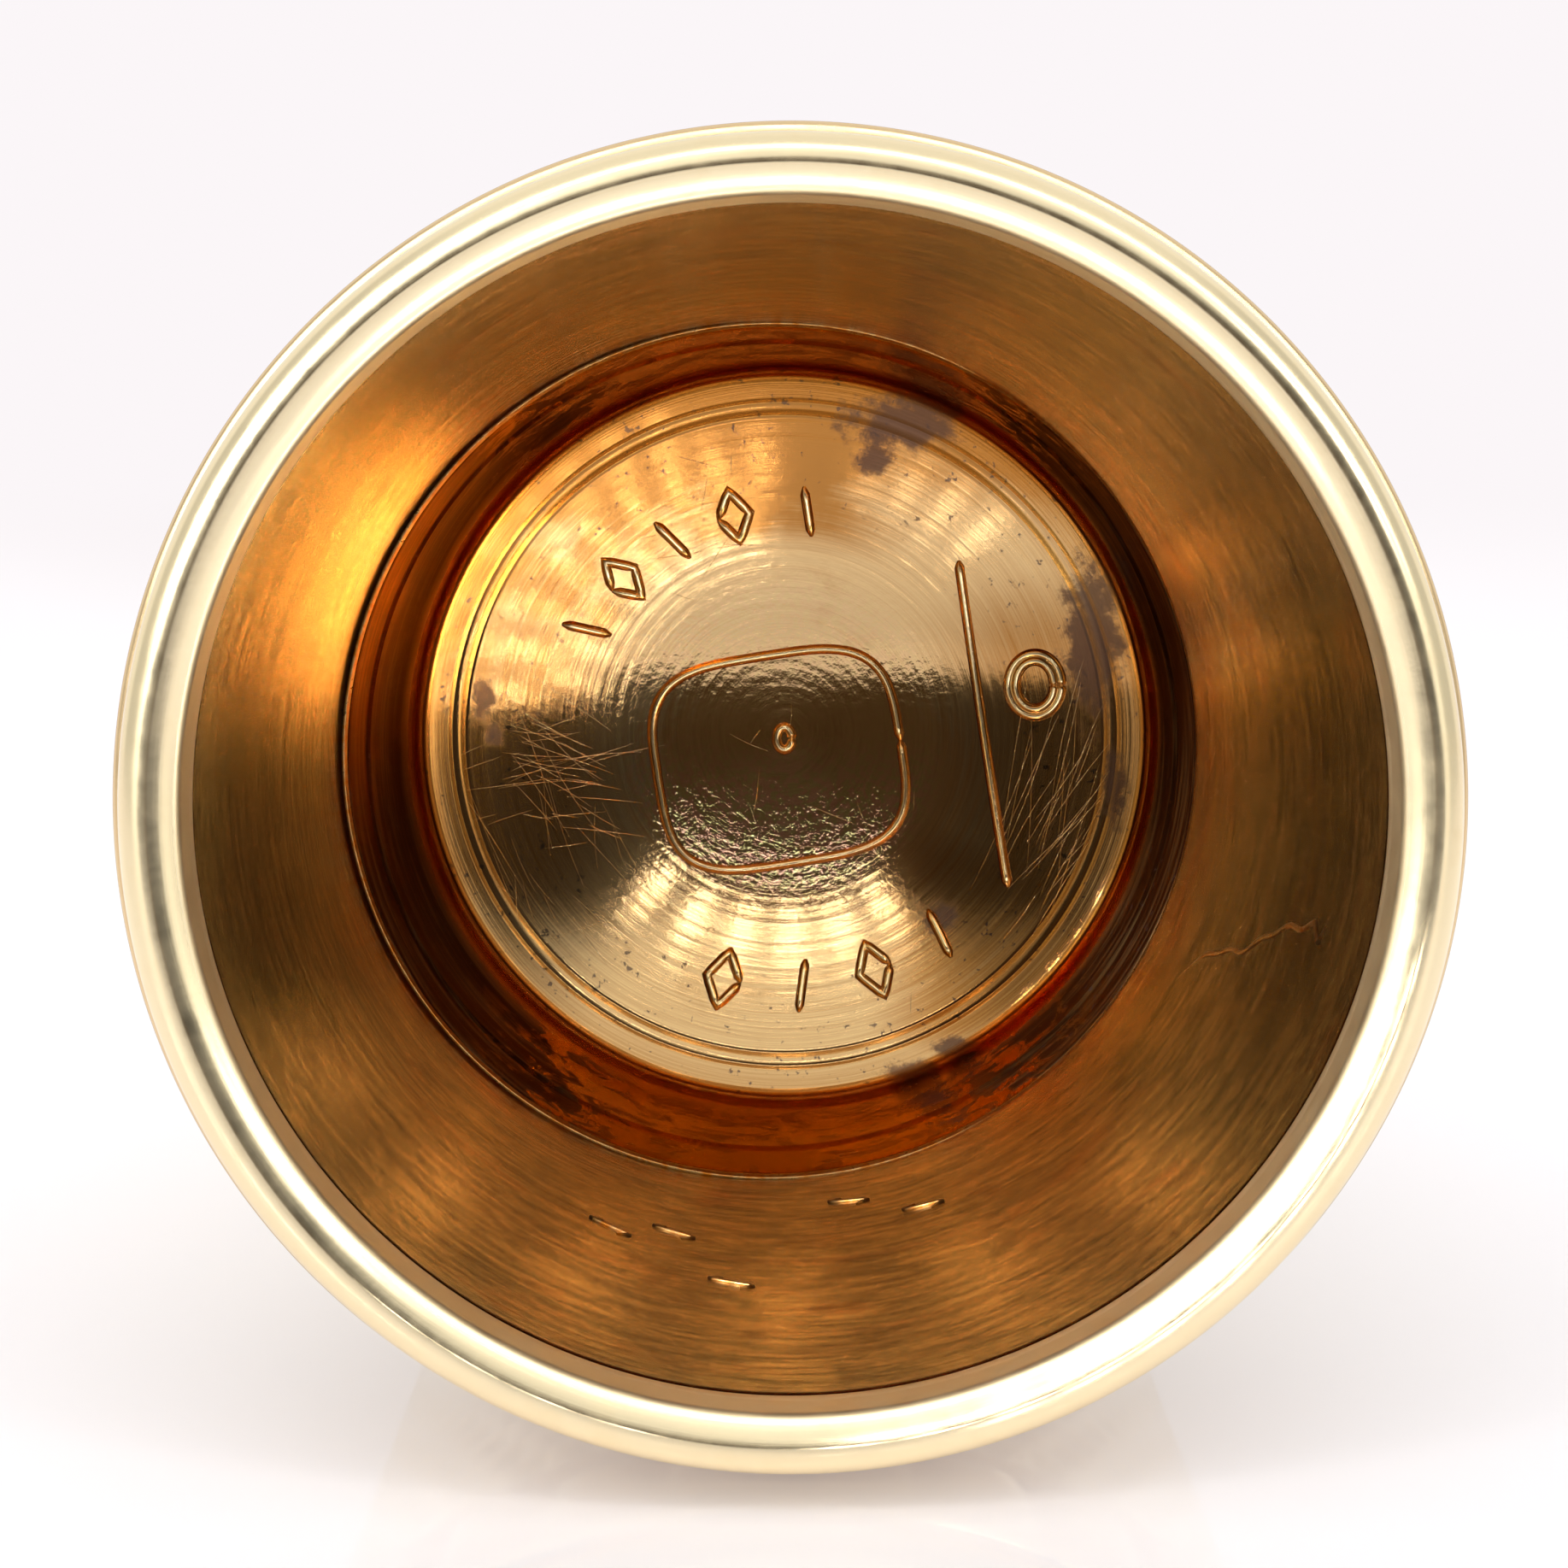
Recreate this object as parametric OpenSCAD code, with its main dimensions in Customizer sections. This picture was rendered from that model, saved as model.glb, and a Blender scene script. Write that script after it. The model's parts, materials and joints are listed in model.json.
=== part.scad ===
// Gold sewing thimble, made up from sheet and wire and soldered together.
// It lies on its side: the axis runs along +Y, the mouth faces -Y and the crown is
// at the far end. The origin is the centre of the rim bead's straight inside face.

/* [Finger] */
// Inside diameter of the mouth, which sets the finger size
mouth_d = 16.6; // [14:0.1:20]
// Taper of the side wall, in degrees to the axis
taper = 4.3; // [2:0.1:6]

/* [Rim] */
// Thickness of the rim bead from inside to outside
rim_t = 0.95; // [0.8:0.05:1.4]
// Length of the rim bead along the axis
rim_h = 1.3; // [1:0.1:2]
// Width of the narrow flat that the mouth stands on
rim_flat = 0.18; // [0.1:0.02:0.3]
// Rounding of the bead's back edge
rim_back = 0.22; // [0.1:0.02:0.35]

/* [Side wall] */
// Distance from the mouth to the wall's upper end
wall_end = 16.6; // [12:0.2:22]
// Thickness of the wall sheet
wall_t = 0.35; // [0.25:0.05:0.6]
// How far the wall stands back from the mouth's inside face
wall_step = 0.05; // [0.02:0.01:0.1]

/* [Crown] */
// Height of the crown above the wall's upper end
crown_h = 4.4; // [3.6:0.1:6]
// Thickness of the crown's top
crown_t = 0.4; // [0.3:0.05:0.7]
// Outside rounding of the shoulder
shoulder_r = 1.9; // [1.2:0.1:2.5]
// Rise of the dome above the shoulder
crown_rise = 0.8; // [0.5:0.1:1]
// Length of the skirt that plugs into the wall
skirt_h = 2.8; // [1.5:0.1:4]
// Thickness of the skirt
skirt_t = 0.12; // [0.08:0.02:0.25]

/* [Border] */
// Width of the applied border along the axis
border_w = 2.6; // [2:0.1:4]
// Thickness of the border at its edges
border_t = 0.72; // [0.4:0.02:0.9]
// Width of each raised edge line
border_edge = 0.36; // [0.2:0.02:0.5]
// Depth of the ground between the edge lines
border_sink = 0.16; // [0.05:0.01:0.25]
// Number of lobes round the border
lobes = 32; // [20:1:36]
// Width of one lobe where it meets the ground
lobe_w = 1.6; // [0.9:0.05:1.9]
// Height of the lobes above the ground
lobe_rise = 0.3; // [0.1:0.02:0.35]

/* [Solder] */
// Thickness of the solder film in each joint
film = 0.03; // [0.02:0.01:0.06]
// Leg of the solder fillet at an open edge
fillet = 0.1; // [0.05:0.01:0.2]
// Width of the soldered seam that closes the rolled wall
seam_w = 0.24; // [0.1:0.02:0.5]
// Where the seam lies, in degrees below +X
seam_angle = 19; // [0:1:90]

/* [Hidden] */

$fn = 96;
arc_steps = 8;

mouth_r = mouth_d / 2;
rim_r = mouth_r + rim_t;
rim_round = (rim_t - rim_flat) / 2;

// Height of the origin above the mouth
origin_h = (rim_round + rim_h) / 2;

// The wall is a cone: its inside and outside radius at a height above the mouth
wall_start = rim_h + film;
function wall_in(h) = mouth_r + wall_step - (h - wall_start) * tan(taper);
function wall_out(h) = wall_in(h) + wall_t;

// The crown continues the wall's outside, and its skirt lies a film inside the wall
crown_top = wall_end + crown_h;
skirt_start = wall_end - skirt_h;
side_t = wall_t + film + skirt_t;
function crown_out(h) = wall_out(h);
function crown_in(h) = crown_out(h) - side_t;
function skirt_out(h) = wall_in(h) - film;

// Shoulder: one arc centre serves the outside and the inside
shoulder_z = crown_top - crown_rise - shoulder_r;
shoulder_x = crown_out(shoulder_z) - shoulder_r / cos(taper);
inner_top = crown_top - crown_t;
inner_r = shoulder_r - side_t * cos(taper);

// The border follows the wall, a film outside it
border_start = rim_h;
border_end = rim_h + border_w;
function border_in(h) = wall_out(h) + film;
function border_out(h) = border_in(h) + border_t;
function ground_out(h) = border_out(h) - border_sink;
lobe_start = border_start + border_edge / 2;
lobe_stop = border_end - border_edge / 2;
lobe_step = 360 / lobes;
lobe_base = ground_out((lobe_start + lobe_stop) / 2);

// Radius of an arc that rises by a height over a chord
function arch_r(chord, rise) = (pow(chord / 2, 2) + pow(rise, 2)) / (2 * rise);

// Points along an arc from one angle to another, anticlockwise if end > start
function arc(centre, r, start, end) =
    [for (i = [0 : arc_steps])
        let (a = start + (end - start) * i / arc_steps)
        centre + r * [cos(a), sin(a)]];

// Radius of the dome that meets a shoulder arc smoothly and peaks at a height
function dome_r(centre, r, peak) =
    let (d = peak - centre[1])
    (pow(centre[0], 2) + pow(d, 2) - pow(r, 2)) / (2 * (d - r));

// Dome and shoulder in one line, from the peak down to the side
function dome_line(centre, r, peak) =
    let (big = dome_r(centre, r, peak),
         meet = asin(centre[0] / (big - r)))
    concat(arc([0, peak - big], big, 90, 90 - meet),
           [for (p = arc(centre, r, 90 - meet, taper)) if (p[0] > centre[0]) p]);

function reversed(list) = [for (i = [len(list) - 1 : -1 : 0]) list[i]];

// Lays down what was drawn standing on its mouth, with its height along +Z
module laid() {
    translate([0, -origin_h, 0])
        rotate([-90, 0, 0])
            children();
}

// Turns an outline of [radius, height above the mouth] round the thimble's axis
module turned() {
    laid()
        rotate_extrude()
            children();
}

// Slot through the wall along one side, seam_w wide
module seam_slot() {
    laid()
        rotate([0, 0, seam_angle])
            translate([0, -seam_w / 2, 0])
                cube([rim_r, seam_w, crown_top]);
}

module wall_tube() {
    turned()
        polygon([[wall_in(wall_start), wall_start], [wall_out(wall_start), wall_start],
                 [wall_out(wall_end), wall_end], [wall_in(wall_end), wall_end]]);
}

// Tapered side wall, rolled from sheet, open along its seam
module side_wall() {
    color("goldenrod")
        difference() {
            wall_tube();
            seam_slot();
        }
}

// Solder that fills the wall's seam
module wall_seam() {
    color("darkgoldenrod")
        intersection() {
            wall_tube();
            seam_slot();
        }
}

// Domed crown with a thin skirt that plugs into the wall
module crown_cap() {
    centre = [shoulder_x, shoulder_z];
    outside = dome_line(centre, shoulder_r, crown_top);
    inside = dome_line(centre, inner_r, inner_top);
    color("gold")
        turned()
            polygon(concat(outside,
                [[crown_out(wall_end + film), wall_end + film],
                 [skirt_out(wall_end + film), wall_end + film],
                 [skirt_out(skirt_start), skirt_start],
                 [crown_in(skirt_start), skirt_start]],
                reversed(inside)));
}

// Solder between crown and wall, with a fillet at the skirt's edge
module crown_solder() {
    color("darkgoldenrod")
        turned()
            polygon([[wall_in(skirt_start - fillet), skirt_start - fillet],
                     [wall_in(wall_end), wall_end],
                     [wall_out(wall_end), wall_end],
                     [crown_out(wall_end + film), wall_end + film],
                     [skirt_out(wall_end + film), wall_end + film],
                     [skirt_out(skirt_start), skirt_start],
                     [crown_in(skirt_start), skirt_start]]);
}

// Ring of the border without its lobes: two edge lines with a sunk ground between
module border_ring() {
    low = border_start + border_edge;
    high = border_end - border_edge;
    turned()
        polygon([[border_in(border_start), border_start],
                 [border_out(border_start), border_start],
                 [border_out(low), low],
                 [ground_out(low), low],
                 [ground_out(high), high],
                 [border_out(high), high],
                 [border_out(border_end), border_end],
                 [border_in(border_end), border_end]]);
}

// Arched ring that limits the lobes along the axis
module lobe_limit() {
    length = lobe_stop - lobe_start;
    arch = arch_r(length, lobe_rise);
    swing = asin(length / 2 / arch);
    centre = [lobe_base + lobe_rise - arch, (lobe_start + lobe_stop) / 2];
    turned()
        polygon(concat([[border_in(lobe_start), lobe_start]],
                       arc(centre, arch, -swing, swing),
                       [[border_in(lobe_stop), lobe_stop]]));
}

// Rod along the axis whose side forms one lobe
module lobe_rod() {
    rod = arch_r(lobe_w, lobe_rise);
    translate([lobe_base + lobe_rise - rod, 0, 0])
        cylinder(r = rod, h = border_end);
}

// Applied border with a row of pillow-shaped lobes
module border_band() {
    color("khaki")
        union() {
            border_ring();
            intersection() {
                lobe_limit();
                laid()
                    for (i = [0 : lobes - 1])
                        rotate([0, 0, (i + 0.5) * lobe_step])
                            lobe_rod();
            }
        }
}

// Solder under the border, with a fillet at its upper edge
module border_solder() {
    color("darkgoldenrod")
        turned()
            polygon([[wall_out(wall_start), wall_start],
                     [border_in(wall_start), wall_start],
                     [border_in(border_end), border_end],
                     [border_in(border_end) + fillet, border_end],
                     [wall_out(border_end + fillet), border_end + fillet]]);
}

// Polished bead round the mouth: flat front, round shoulders, straight inside face
module rim_bead() {
    front_in = arc([mouth_r + rim_round, rim_round], rim_round, 180, 270);
    front_out = arc([rim_r - rim_round, rim_round], rim_round, 270, 360);
    back = arc([rim_r - rim_back, rim_h - rim_back], rim_back, 0, 90);
    color("lightgoldenrodyellow")
        turned()
            polygon(concat([[mouth_r, rim_h]], front_in, front_out, back));
}

// Solder between the rim and the end of the wall, with a fillet on the inside
module rim_solder() {
    color("darkgoldenrod")
        turned()
            polygon([[mouth_r, rim_h],
                     [wall_out(wall_start), rim_h],
                     [wall_out(wall_start), wall_start],
                     [wall_in(wall_start), wall_start],
                     [mouth_r + film, wall_start]]);
}

side_wall();
wall_seam();
crown_cap();
crown_solder();
border_band();
border_solder();
rim_bead();
rim_solder();
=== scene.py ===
"""Gold thimble lying on its side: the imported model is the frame, and each piece is built round it."""

import json
import math
import random

import bmesh
import bpy
from bpy.props import FloatProperty, FloatVectorProperty, IntProperty, PointerProperty
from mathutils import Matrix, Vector


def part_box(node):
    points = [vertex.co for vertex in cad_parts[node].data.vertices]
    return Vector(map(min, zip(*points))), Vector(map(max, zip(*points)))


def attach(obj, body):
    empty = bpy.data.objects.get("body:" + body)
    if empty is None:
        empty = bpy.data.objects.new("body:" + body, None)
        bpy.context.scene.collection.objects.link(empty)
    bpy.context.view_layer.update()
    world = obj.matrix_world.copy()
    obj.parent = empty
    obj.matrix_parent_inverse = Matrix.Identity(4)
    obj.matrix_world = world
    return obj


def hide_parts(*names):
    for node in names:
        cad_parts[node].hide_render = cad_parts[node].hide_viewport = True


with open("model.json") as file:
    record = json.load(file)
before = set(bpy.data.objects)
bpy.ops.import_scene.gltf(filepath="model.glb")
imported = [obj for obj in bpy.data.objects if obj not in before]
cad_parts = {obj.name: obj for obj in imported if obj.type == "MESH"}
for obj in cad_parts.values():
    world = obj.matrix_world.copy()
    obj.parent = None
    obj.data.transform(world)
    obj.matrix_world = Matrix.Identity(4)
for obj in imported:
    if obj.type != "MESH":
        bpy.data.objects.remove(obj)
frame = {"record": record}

bl_info = {
    "name": "Gold Thimble",
    "version": (1, 0, 0),
    "blender": (4, 5, 0),
    "location": "View3D > Sidebar > Thimble",
    "description": "Builds a soldered gold thimble around its packed CAD model",
    "category": "Add Mesh",
}

MM = 0.001
FULL_TURN = 2 * math.pi
WELD = 1e-6
WHITE = (1.0, 1.0, 1.0, 1.0)

# How finely round pieces are divided
DOME_STEPS = 54
CROWN_SEGMENTS = 384
RIM_SEGMENTS = 288
RING_SEGMENTS = 224

# Radii of the raised burrs that stand for struck lines and for hair scratches
MARK_R = 0.105 * MM
SCRATCH_R = 0.0065 * MM
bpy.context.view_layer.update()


# ---------------------------------------------------------------- places from the frame

def mount_dims(name):
    """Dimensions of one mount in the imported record."""
    found = [m for m in frame["record"]["mounts"] if m["name"] == name]
    return found[0]["dims"]


MOUTH_R = mount_dims("finger_bore")["r_mm"] * MM
RIM_LOW, RIM_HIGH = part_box("rim_bead")
WALL_LOW, WALL_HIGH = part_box("side_wall")
CROWN_LOW, CROWN_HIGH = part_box("crown_cap")
BORDER_LOW, BORDER_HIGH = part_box("border_band")

MOUTH_Y = RIM_LOW.y
RIM_BACK_Y = RIM_HIGH.y
RIM_R = RIM_HIGH.x
WALL_START = WALL_LOW.y
WALL_END = WALL_HIGH.y
WALL_R = WALL_HIGH.x
FILM = WALL_START - RIM_BACK_Y
SKIRT_START = CROWN_LOW.y
CROWN_SEAT = WALL_END + FILM
CROWN_TOP = CROWN_HIGH.y
BORDER_START = BORDER_LOW.y
BORDER_END = BORDER_HIGH.y
BORDER_R = BORDER_HIGH.x

# How much the outside radius shrinks for each unit along the axis
SLOPE = (WALL_R - CROWN_HIGH.x) / (CROWN_SEAT - WALL_START)
TAPER = math.atan(SLOPE)


def wall_out(y):
    """Outside radius of the wall, which the crown continues."""
    return WALL_R - (y - WALL_START) * SLOPE


# ---------------------------------------------------------------- settings

def length(name, description, millimetres):
    """A length property that shows in scene units."""
    return FloatProperty(name=name, description=description, default=millimetres * MM,
                         unit="LENGTH", precision=5)


def colour(name, description, rgb):
    """A linear colour property."""
    return FloatVectorProperty(name=name, description=description, default=rgb,
                               size=3, min=0.0, max=1.0, subtype="COLOR")


class THIMBLE_PG_wall(bpy.types.PropertyGroup):
    sheet: length("Sheet", "Thickness of the rolled sheet", 0.35)
    dimples_around: IntProperty(name="Dimples around", description="Dimples in one knurled row",
                                default=56, min=12, max=90)
    dimple_pitch: length("Row pitch", "Distance between knurled rows", 0.92)
    dimple_depth: length("Dimple depth", "Depth of each knurled dimple", 0.1)
    lean: length("Lean", "How far the inside leans to one side near the crown", 0.15)
    seam_width: length("Seam width", "Width of the solder line along the wall", 0.11)
    seam_rise: length("Seam rise", "Height of the solder line over the inside", 0.035)


class THIMBLE_PG_crown(bpy.types.PropertyGroup):
    shoulder: length("Shoulder", "Outside rounding of the shoulder", 1.9)
    rise: length("Rise", "Rise of the dome above the shoulder", 0.8)
    thickness: length("Thickness", "Thickness of the crown's top", 0.4)
    side: length("Side", "Thickness from the outside to the crown's inside", 0.46)
    corner: length("Corner", "Rounding inside the crown", 0.38)
    bowl: length("Bowl", "Radius of the dome's inside", 18.8)
    skirt: length("Skirt", "Thickness of the skirt near its edge", 0.06)
    slant: length("Slant", "How much deeper the skirt's edge lies on one side", 0.85)
    outer_ring: length("Outer ring", "Radius of the outer scribed ring", 6.27)
    inner_ring: length("Inner ring", "Radius of the inner scribed ring", 6.03)
    scribe: length("Scribe", "Width of a scribed line", 0.06)


class THIMBLE_PG_border(bpy.types.PropertyGroup):
    lobes: IntProperty(name="Lobes", description="Lobes round the border", default=32, min=8, max=60)
    thickness: length("Thickness", "Thickness of the border at its edges", 0.72)
    edge: length("Edge line", "Width of each raised edge line", 0.36)
    sink: length("Sunk ground", "Depth of the ground between the edge lines", 0.16)
    lobe_rise: length("Lobe rise", "Height of the lobes above the ground", 0.3)


class THIMBLE_PG_rim(bpy.types.PropertyGroup):
    flat: length("Flat", "Width of the narrow flat at the mouth", 0.02)
    wear: length("Wear", "How far the bead's outside is worn down", 0.07)
    ridge: FloatProperty(name="Ridge", default=12.0, min=0.0, max=30.0,
                         description="Slope of the bead's inside next to its flat, in degrees")
    back: length("Back", "Rounding of the bead's back edge", 0.22)


class THIMBLE_PG_finish(bpy.types.PropertyGroup):
    wall: colour("Wall gold", "Warm gold of the wall's inside", (0.53, 0.42, 0.21))
    # Patina also paints the shade by the wall's ledge.
    patina: colour("Patina", "Brown of the handled and heated gold", (0.47, 0.165, 0.018))
    crown: colour("Crown gold", "Brighter gold of the crown", (0.80, 0.54, 0.25))
    rim: colour("Rim gold", "Pale polished gold of the rim", (0.96, 0.81, 0.52))
    border: colour("Border gold", "Gold of the border", (0.92, 0.74, 0.44))
    # Dull gold also paints the shade in the dome's side bands and upper part.
    dull_and_shade: colour("Dull gold", "Brown of the crown where it is not polished", (0.47, 0.21, 0.05))
    # Fire scale also paints the shade at the skirt's left and right sides.
    scale: colour("Fire scale", "Dark brown left by the torch on the skirt", (0.035, 0.010, 0.003))
    tarnish: colour("Tarnish", "Violet grey of the tarnish spots", (0.10, 0.062, 0.055))


class THIMBLE_PG_stage(bpy.types.PropertyGroup):
    lens: FloatProperty(name="Lens", description="Focal length of the camera", default=83.7,
                        min=20.0, max=200.0, unit="CAMERA")
    distance: length("Distance", "How far the camera stands in front of the origin", 50.0)
    height: length("Height", "How far the camera stands above the axis", 3.64)
    floor: length("Floor", "Half the width of the floor", 400.0)


SETTINGS = {
    "wall": THIMBLE_PG_wall,
    "crown": THIMBLE_PG_crown,
    "border": THIMBLE_PG_border,
    "rim": THIMBLE_PG_rim,
    "finish": THIMBLE_PG_finish,
    "stage": THIMBLE_PG_stage,
}


def settings(group):
    """One group of settings, as the scene holds it."""
    return getattr(bpy.context.scene, "thimble_" + group)


# ---------------------------------------------------------------- node trees

class Nodes:
    """Adds nodes to a tree and links them as they are made."""

    def __init__(self, tree):
        self.tree = tree
        tree.nodes.clear()

    def add(self, kind, inputs=None, **values):
        """One node, with its properties and its inputs set or linked."""
        made = self.tree.nodes.new(kind)
        for key, value in values.items():
            setattr(made, key, value)
        for key, value in (inputs or {}).items():
            if isinstance(value, bpy.types.NodeSocket):
                self.tree.links.new(value, made.inputs[key])
            else:
                made.inputs[key].default_value = value
        return made

    def math(self, operation, *values):
        return self.add("ShaderNodeMath", dict(enumerate(values)), operation=operation).outputs[0]

    def product(self, *values):
        """Several values multiplied."""
        result = values[0]
        for value in values[1:]:
            result = self.math("MULTIPLY", result, value)
        return result

    def total(self, *values):
        """Several values added."""
        result = values[0]
        for value in values[1:]:
            result = self.math("ADD", result, value)
        return result

    def vector(self, operation, *values):
        made = self.add("ShaderNodeVectorMath", dict(enumerate(values)), operation=operation)
        return made.outputs["Value" if operation in ("LENGTH", "DOT_PRODUCT", "DISTANCE") else "Vector"]

    def scaled(self, vector, factor):
        made = self.add("ShaderNodeVectorMath", {0: vector, "Scale": factor}, operation="SCALE")
        return made.outputs[0]

    def combine(self, x, y, z):
        return self.add("ShaderNodeCombineXYZ", {0: x, 1: y, 2: z}).outputs[0]

    def separate(self, vector):
        return self.add("ShaderNodeSeparateXYZ", {0: vector}).outputs

    def ramp(self, value, low, high, start=0.0, stop=1.0, smooth=True):
        """Maps low..high to start..stop, clamped."""
        return self.add("ShaderNodeMapRange",
                        {"Value": value, "From Min": low, "From Max": high,
                         "To Min": start, "To Max": stop},
                        interpolation_type="SMOOTHSTEP" if smooth else "LINEAR").outputs[0]

    def band(self, value, centre, half, soft):
        """1 within half of centre, falling to 0 over soft."""
        off = self.math("ABSOLUTE", self.math("SUBTRACT", value, centre))
        return self.ramp(off, half, half + soft, 1.0, 0.0)

    def noise(self, vector, scale, detail=2.0, roughness=0.5, distortion=0.0):
        return self.add("ShaderNodeTexNoise",
                        {"Vector": vector, "Scale": scale, "Detail": detail,
                         "Roughness": roughness, "Distortion": distortion}).outputs["Fac"]

    def mix(self, factor, first, second, blend="MIX"):
        made = self.add("ShaderNodeMix", data_type="RGBA", blend_type=blend)
        for key, value in ((0, factor), (6, first), (7, second)):
            if isinstance(value, bpy.types.NodeSocket):
                self.tree.links.new(value, made.inputs[key])
            else:
                made.inputs[key].default_value = value
        return made.outputs[2]


def rgba(rgb):
    return (*rgb, 1.0)


# ---------------------------------------------------------------- materials

class GoldNodes(Nodes):
    """A metal whose marks follow the turning about the thimble's axis."""

    def __init__(self, name):
        self.material = bpy.data.materials.new(name)
        self.material.use_nodes = True
        super().__init__(self.material.node_tree)
        place = self.add("ShaderNodeTexCoord").outputs["Object"]
        self.place = self.scaled(place, 1000.0)
        x, y, z = self.separate(self.place)
        self.x, self.y, self.z = x, y, z
        flat = self.combine(x, 0.0, z)
        self.radius = self.vector("LENGTH", flat)
        self.round = self.vector("NORMALIZE", flat)
        self.along = self.math("SUBTRACT", self.radius, y)
        self.tangent = self.vector("NORMALIZE", self.vector("CROSS_PRODUCT", (0.0, 1.0, 0.0), flat))

    def turned(self, around, along, scale=1.0, detail=2.0, roughness=0.5):
        """Noise that is long round the axis and short along it."""
        rx, _, rz = self.separate(self.round)
        where = self.combine(self.math("MULTIPLY", rx, around), self.math("MULTIPLY", self.along, along),
                             self.math("MULTIPLY", rz, around))
        return self.noise(where, scale, detail, roughness)

    def finish(self, colour_socket, roughness, height, strength, anisotropic=0.0, edge=WHITE):
        """Ends the material: a metal with bumps, brushed round the axis, and its tint at grazing angles."""
        bump = self.add("ShaderNodeBump", {"Strength": strength, "Distance": 0.02 * MM, "Height": height})
        metal = self.add("ShaderNodeBsdfPrincipled",
                         {"Base Color": colour_socket, "Metallic": 1.0, "Roughness": roughness,
                          "Specular Tint": edge, "Normal": bump.outputs[0]})
        if anisotropic:
            metal.inputs["Anisotropic"].default_value = anisotropic
            metal.inputs["Anisotropic Rotation"].default_value = 0.25
            self.tree.links.new(self.tangent, metal.inputs["Tangent"])
        self.add("ShaderNodeOutputMaterial", {"Surface": metal.outputs[0]})
        return self.material


def wall_patina_and_painted_light(n, lines, mottle, bands):
    """How brown the wall's inside is: in patches, in bands and streaks, towards the skirt and towards the
    top, with painted shade by the ledge, most at the sides, and a painted highlight, less brown, on the
    upper left.
    """
    skirt_y = SKIRT_START / MM
    patches = n.noise(n.place, 0.42, 5.0, 0.62, 0.6)
    brown = n.total(n.ramp(n.y, WALL_START / MM, skirt_y, 0.0, 0.22),
                    n.ramp(patches, 0.52, 0.72, 0.0, 0.42),
                    n.ramp(lines, 0.36, 0.64, -0.2, 0.22),
                    n.ramp(bands, 0.5, 0.75, 0.0, 0.25),
                    n.ramp(mottle, 0.58, 0.8, 0.0, 0.2),
                    n.ramp(n.z, 1.0, 6.0, 0.0, 0.34))
    # Painted shade: darker in the corner by the ledge, strongest at the left and right sides.
    ledge_shade = n.product(n.ramp(n.y, skirt_y - 3.2, skirt_y + 0.4, 0.0, 0.7),
                      n.ramp(n.noise(n.place, 1.3, 5.0, 0.7, 0.4), 0.38, 0.6, 0.35, 1.3),
                      n.ramp(n.math("ABSOLUTE", n.x), 2.0, 6.0, 0.3, 1.0))
    # Painted highlight: a lighter, less brown patch on the upper left of the wall.
    painted_highlight = n.product(n.ramp(n.x, -6.4, -4.6, 0.55, 0.0), n.band(n.z, 2.6, 1.8, 1.8))
    return n.math("SUBTRACT", n.total(brown, ledge_shade), painted_highlight)


def wall_gold():
    """Warm brushed gold, browned towards the crown and in patches, with painted shade by the ledge and a
    painted highlight on the left.
    """
    look = settings("finish")
    n = GoldNodes("wall_gold")
    lines = n.turned(2.4, 5.5, 1.0, 6.0, 0.75)
    bands = n.turned(1.1, 1.6, 1.0, 3.0, 0.6)
    mottle = n.noise(n.place, 1.9, 4.0, 0.6)
    brown = wall_patina_and_painted_light(n, lines, mottle, bands)
    tone = n.mix(n.ramp(brown, 0.0, 1.0, smooth=False), rgba(look.wall), rgba(look.patina))
    fine = n.turned(5.0, 3.2, 1.0, 8.0, 0.85)
    stain = n.noise(n.place, 0.95, 6.0, 0.72, 0.5)
    shade = n.product(n.ramp(fine, 0.41, 0.59, 0.6, 1.3, smooth=False), n.ramp(stain, 0.4, 0.66, 1.06, 0.66))
    roughness = n.ramp(lines, 0.3, 0.7, 0.08, 0.18, smooth=False)
    height = n.total(n.product(lines, 0.6), n.product(mottle, 0.45), n.product(bands, 2.2))
    return n.finish(n.scaled(tone, shade), roughness, height, 0.45, 0.6)


# Tarnish spots inside the crown: x, z and half sizes, in millimetres
TARNISH_SPOTS = (
    (5.8, 1.8, 0.55, 1.7),
    (2.2, 5.9, 1.1, 0.55),
    (6.2, -0.9, 0.25, 0.7),
    (3.0, -3.5, 0.35, 0.3),
    (3.2, -5.9, 0.4, 0.2),
    (2.5, -6.4, 0.6, 0.25),
    (-5.7, 0.7, 0.22, 0.35),
    (-5.5, 0.0, 0.2, 0.25),
    (1.7, 5.2, 0.4, 0.3),
)

# Colours of the painted glints in the crown's middle
GLINT_GREEN = (0.62, 0.78, 0.42, 1.0)
GLINT_ROSE = (0.92, 0.52, 0.56, 1.0)


def tarnish_spots(n):
    """1 in the tarnish spots, with ragged edges."""
    ragged = n.product(n.math("SUBTRACT", n.noise(n.place, 2.4, 6.0, 0.75), 0.5), 2.6)
    spot = 0.0
    for x, z, half_x, half_z in TARNISH_SPOTS:
        across = n.math("DIVIDE", n.math("SUBTRACT", n.x, x), half_x)
        up = n.math("DIVIDE", n.math("SUBTRACT", n.z, z), half_z)
        reach = n.total(n.vector("LENGTH", n.combine(across, up, 0.0)), ragged)
        spot = n.math("MAXIMUM", n.ramp(reach, 0.5, 1.25, 1.0, 0.0), spot)
    return spot


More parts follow.
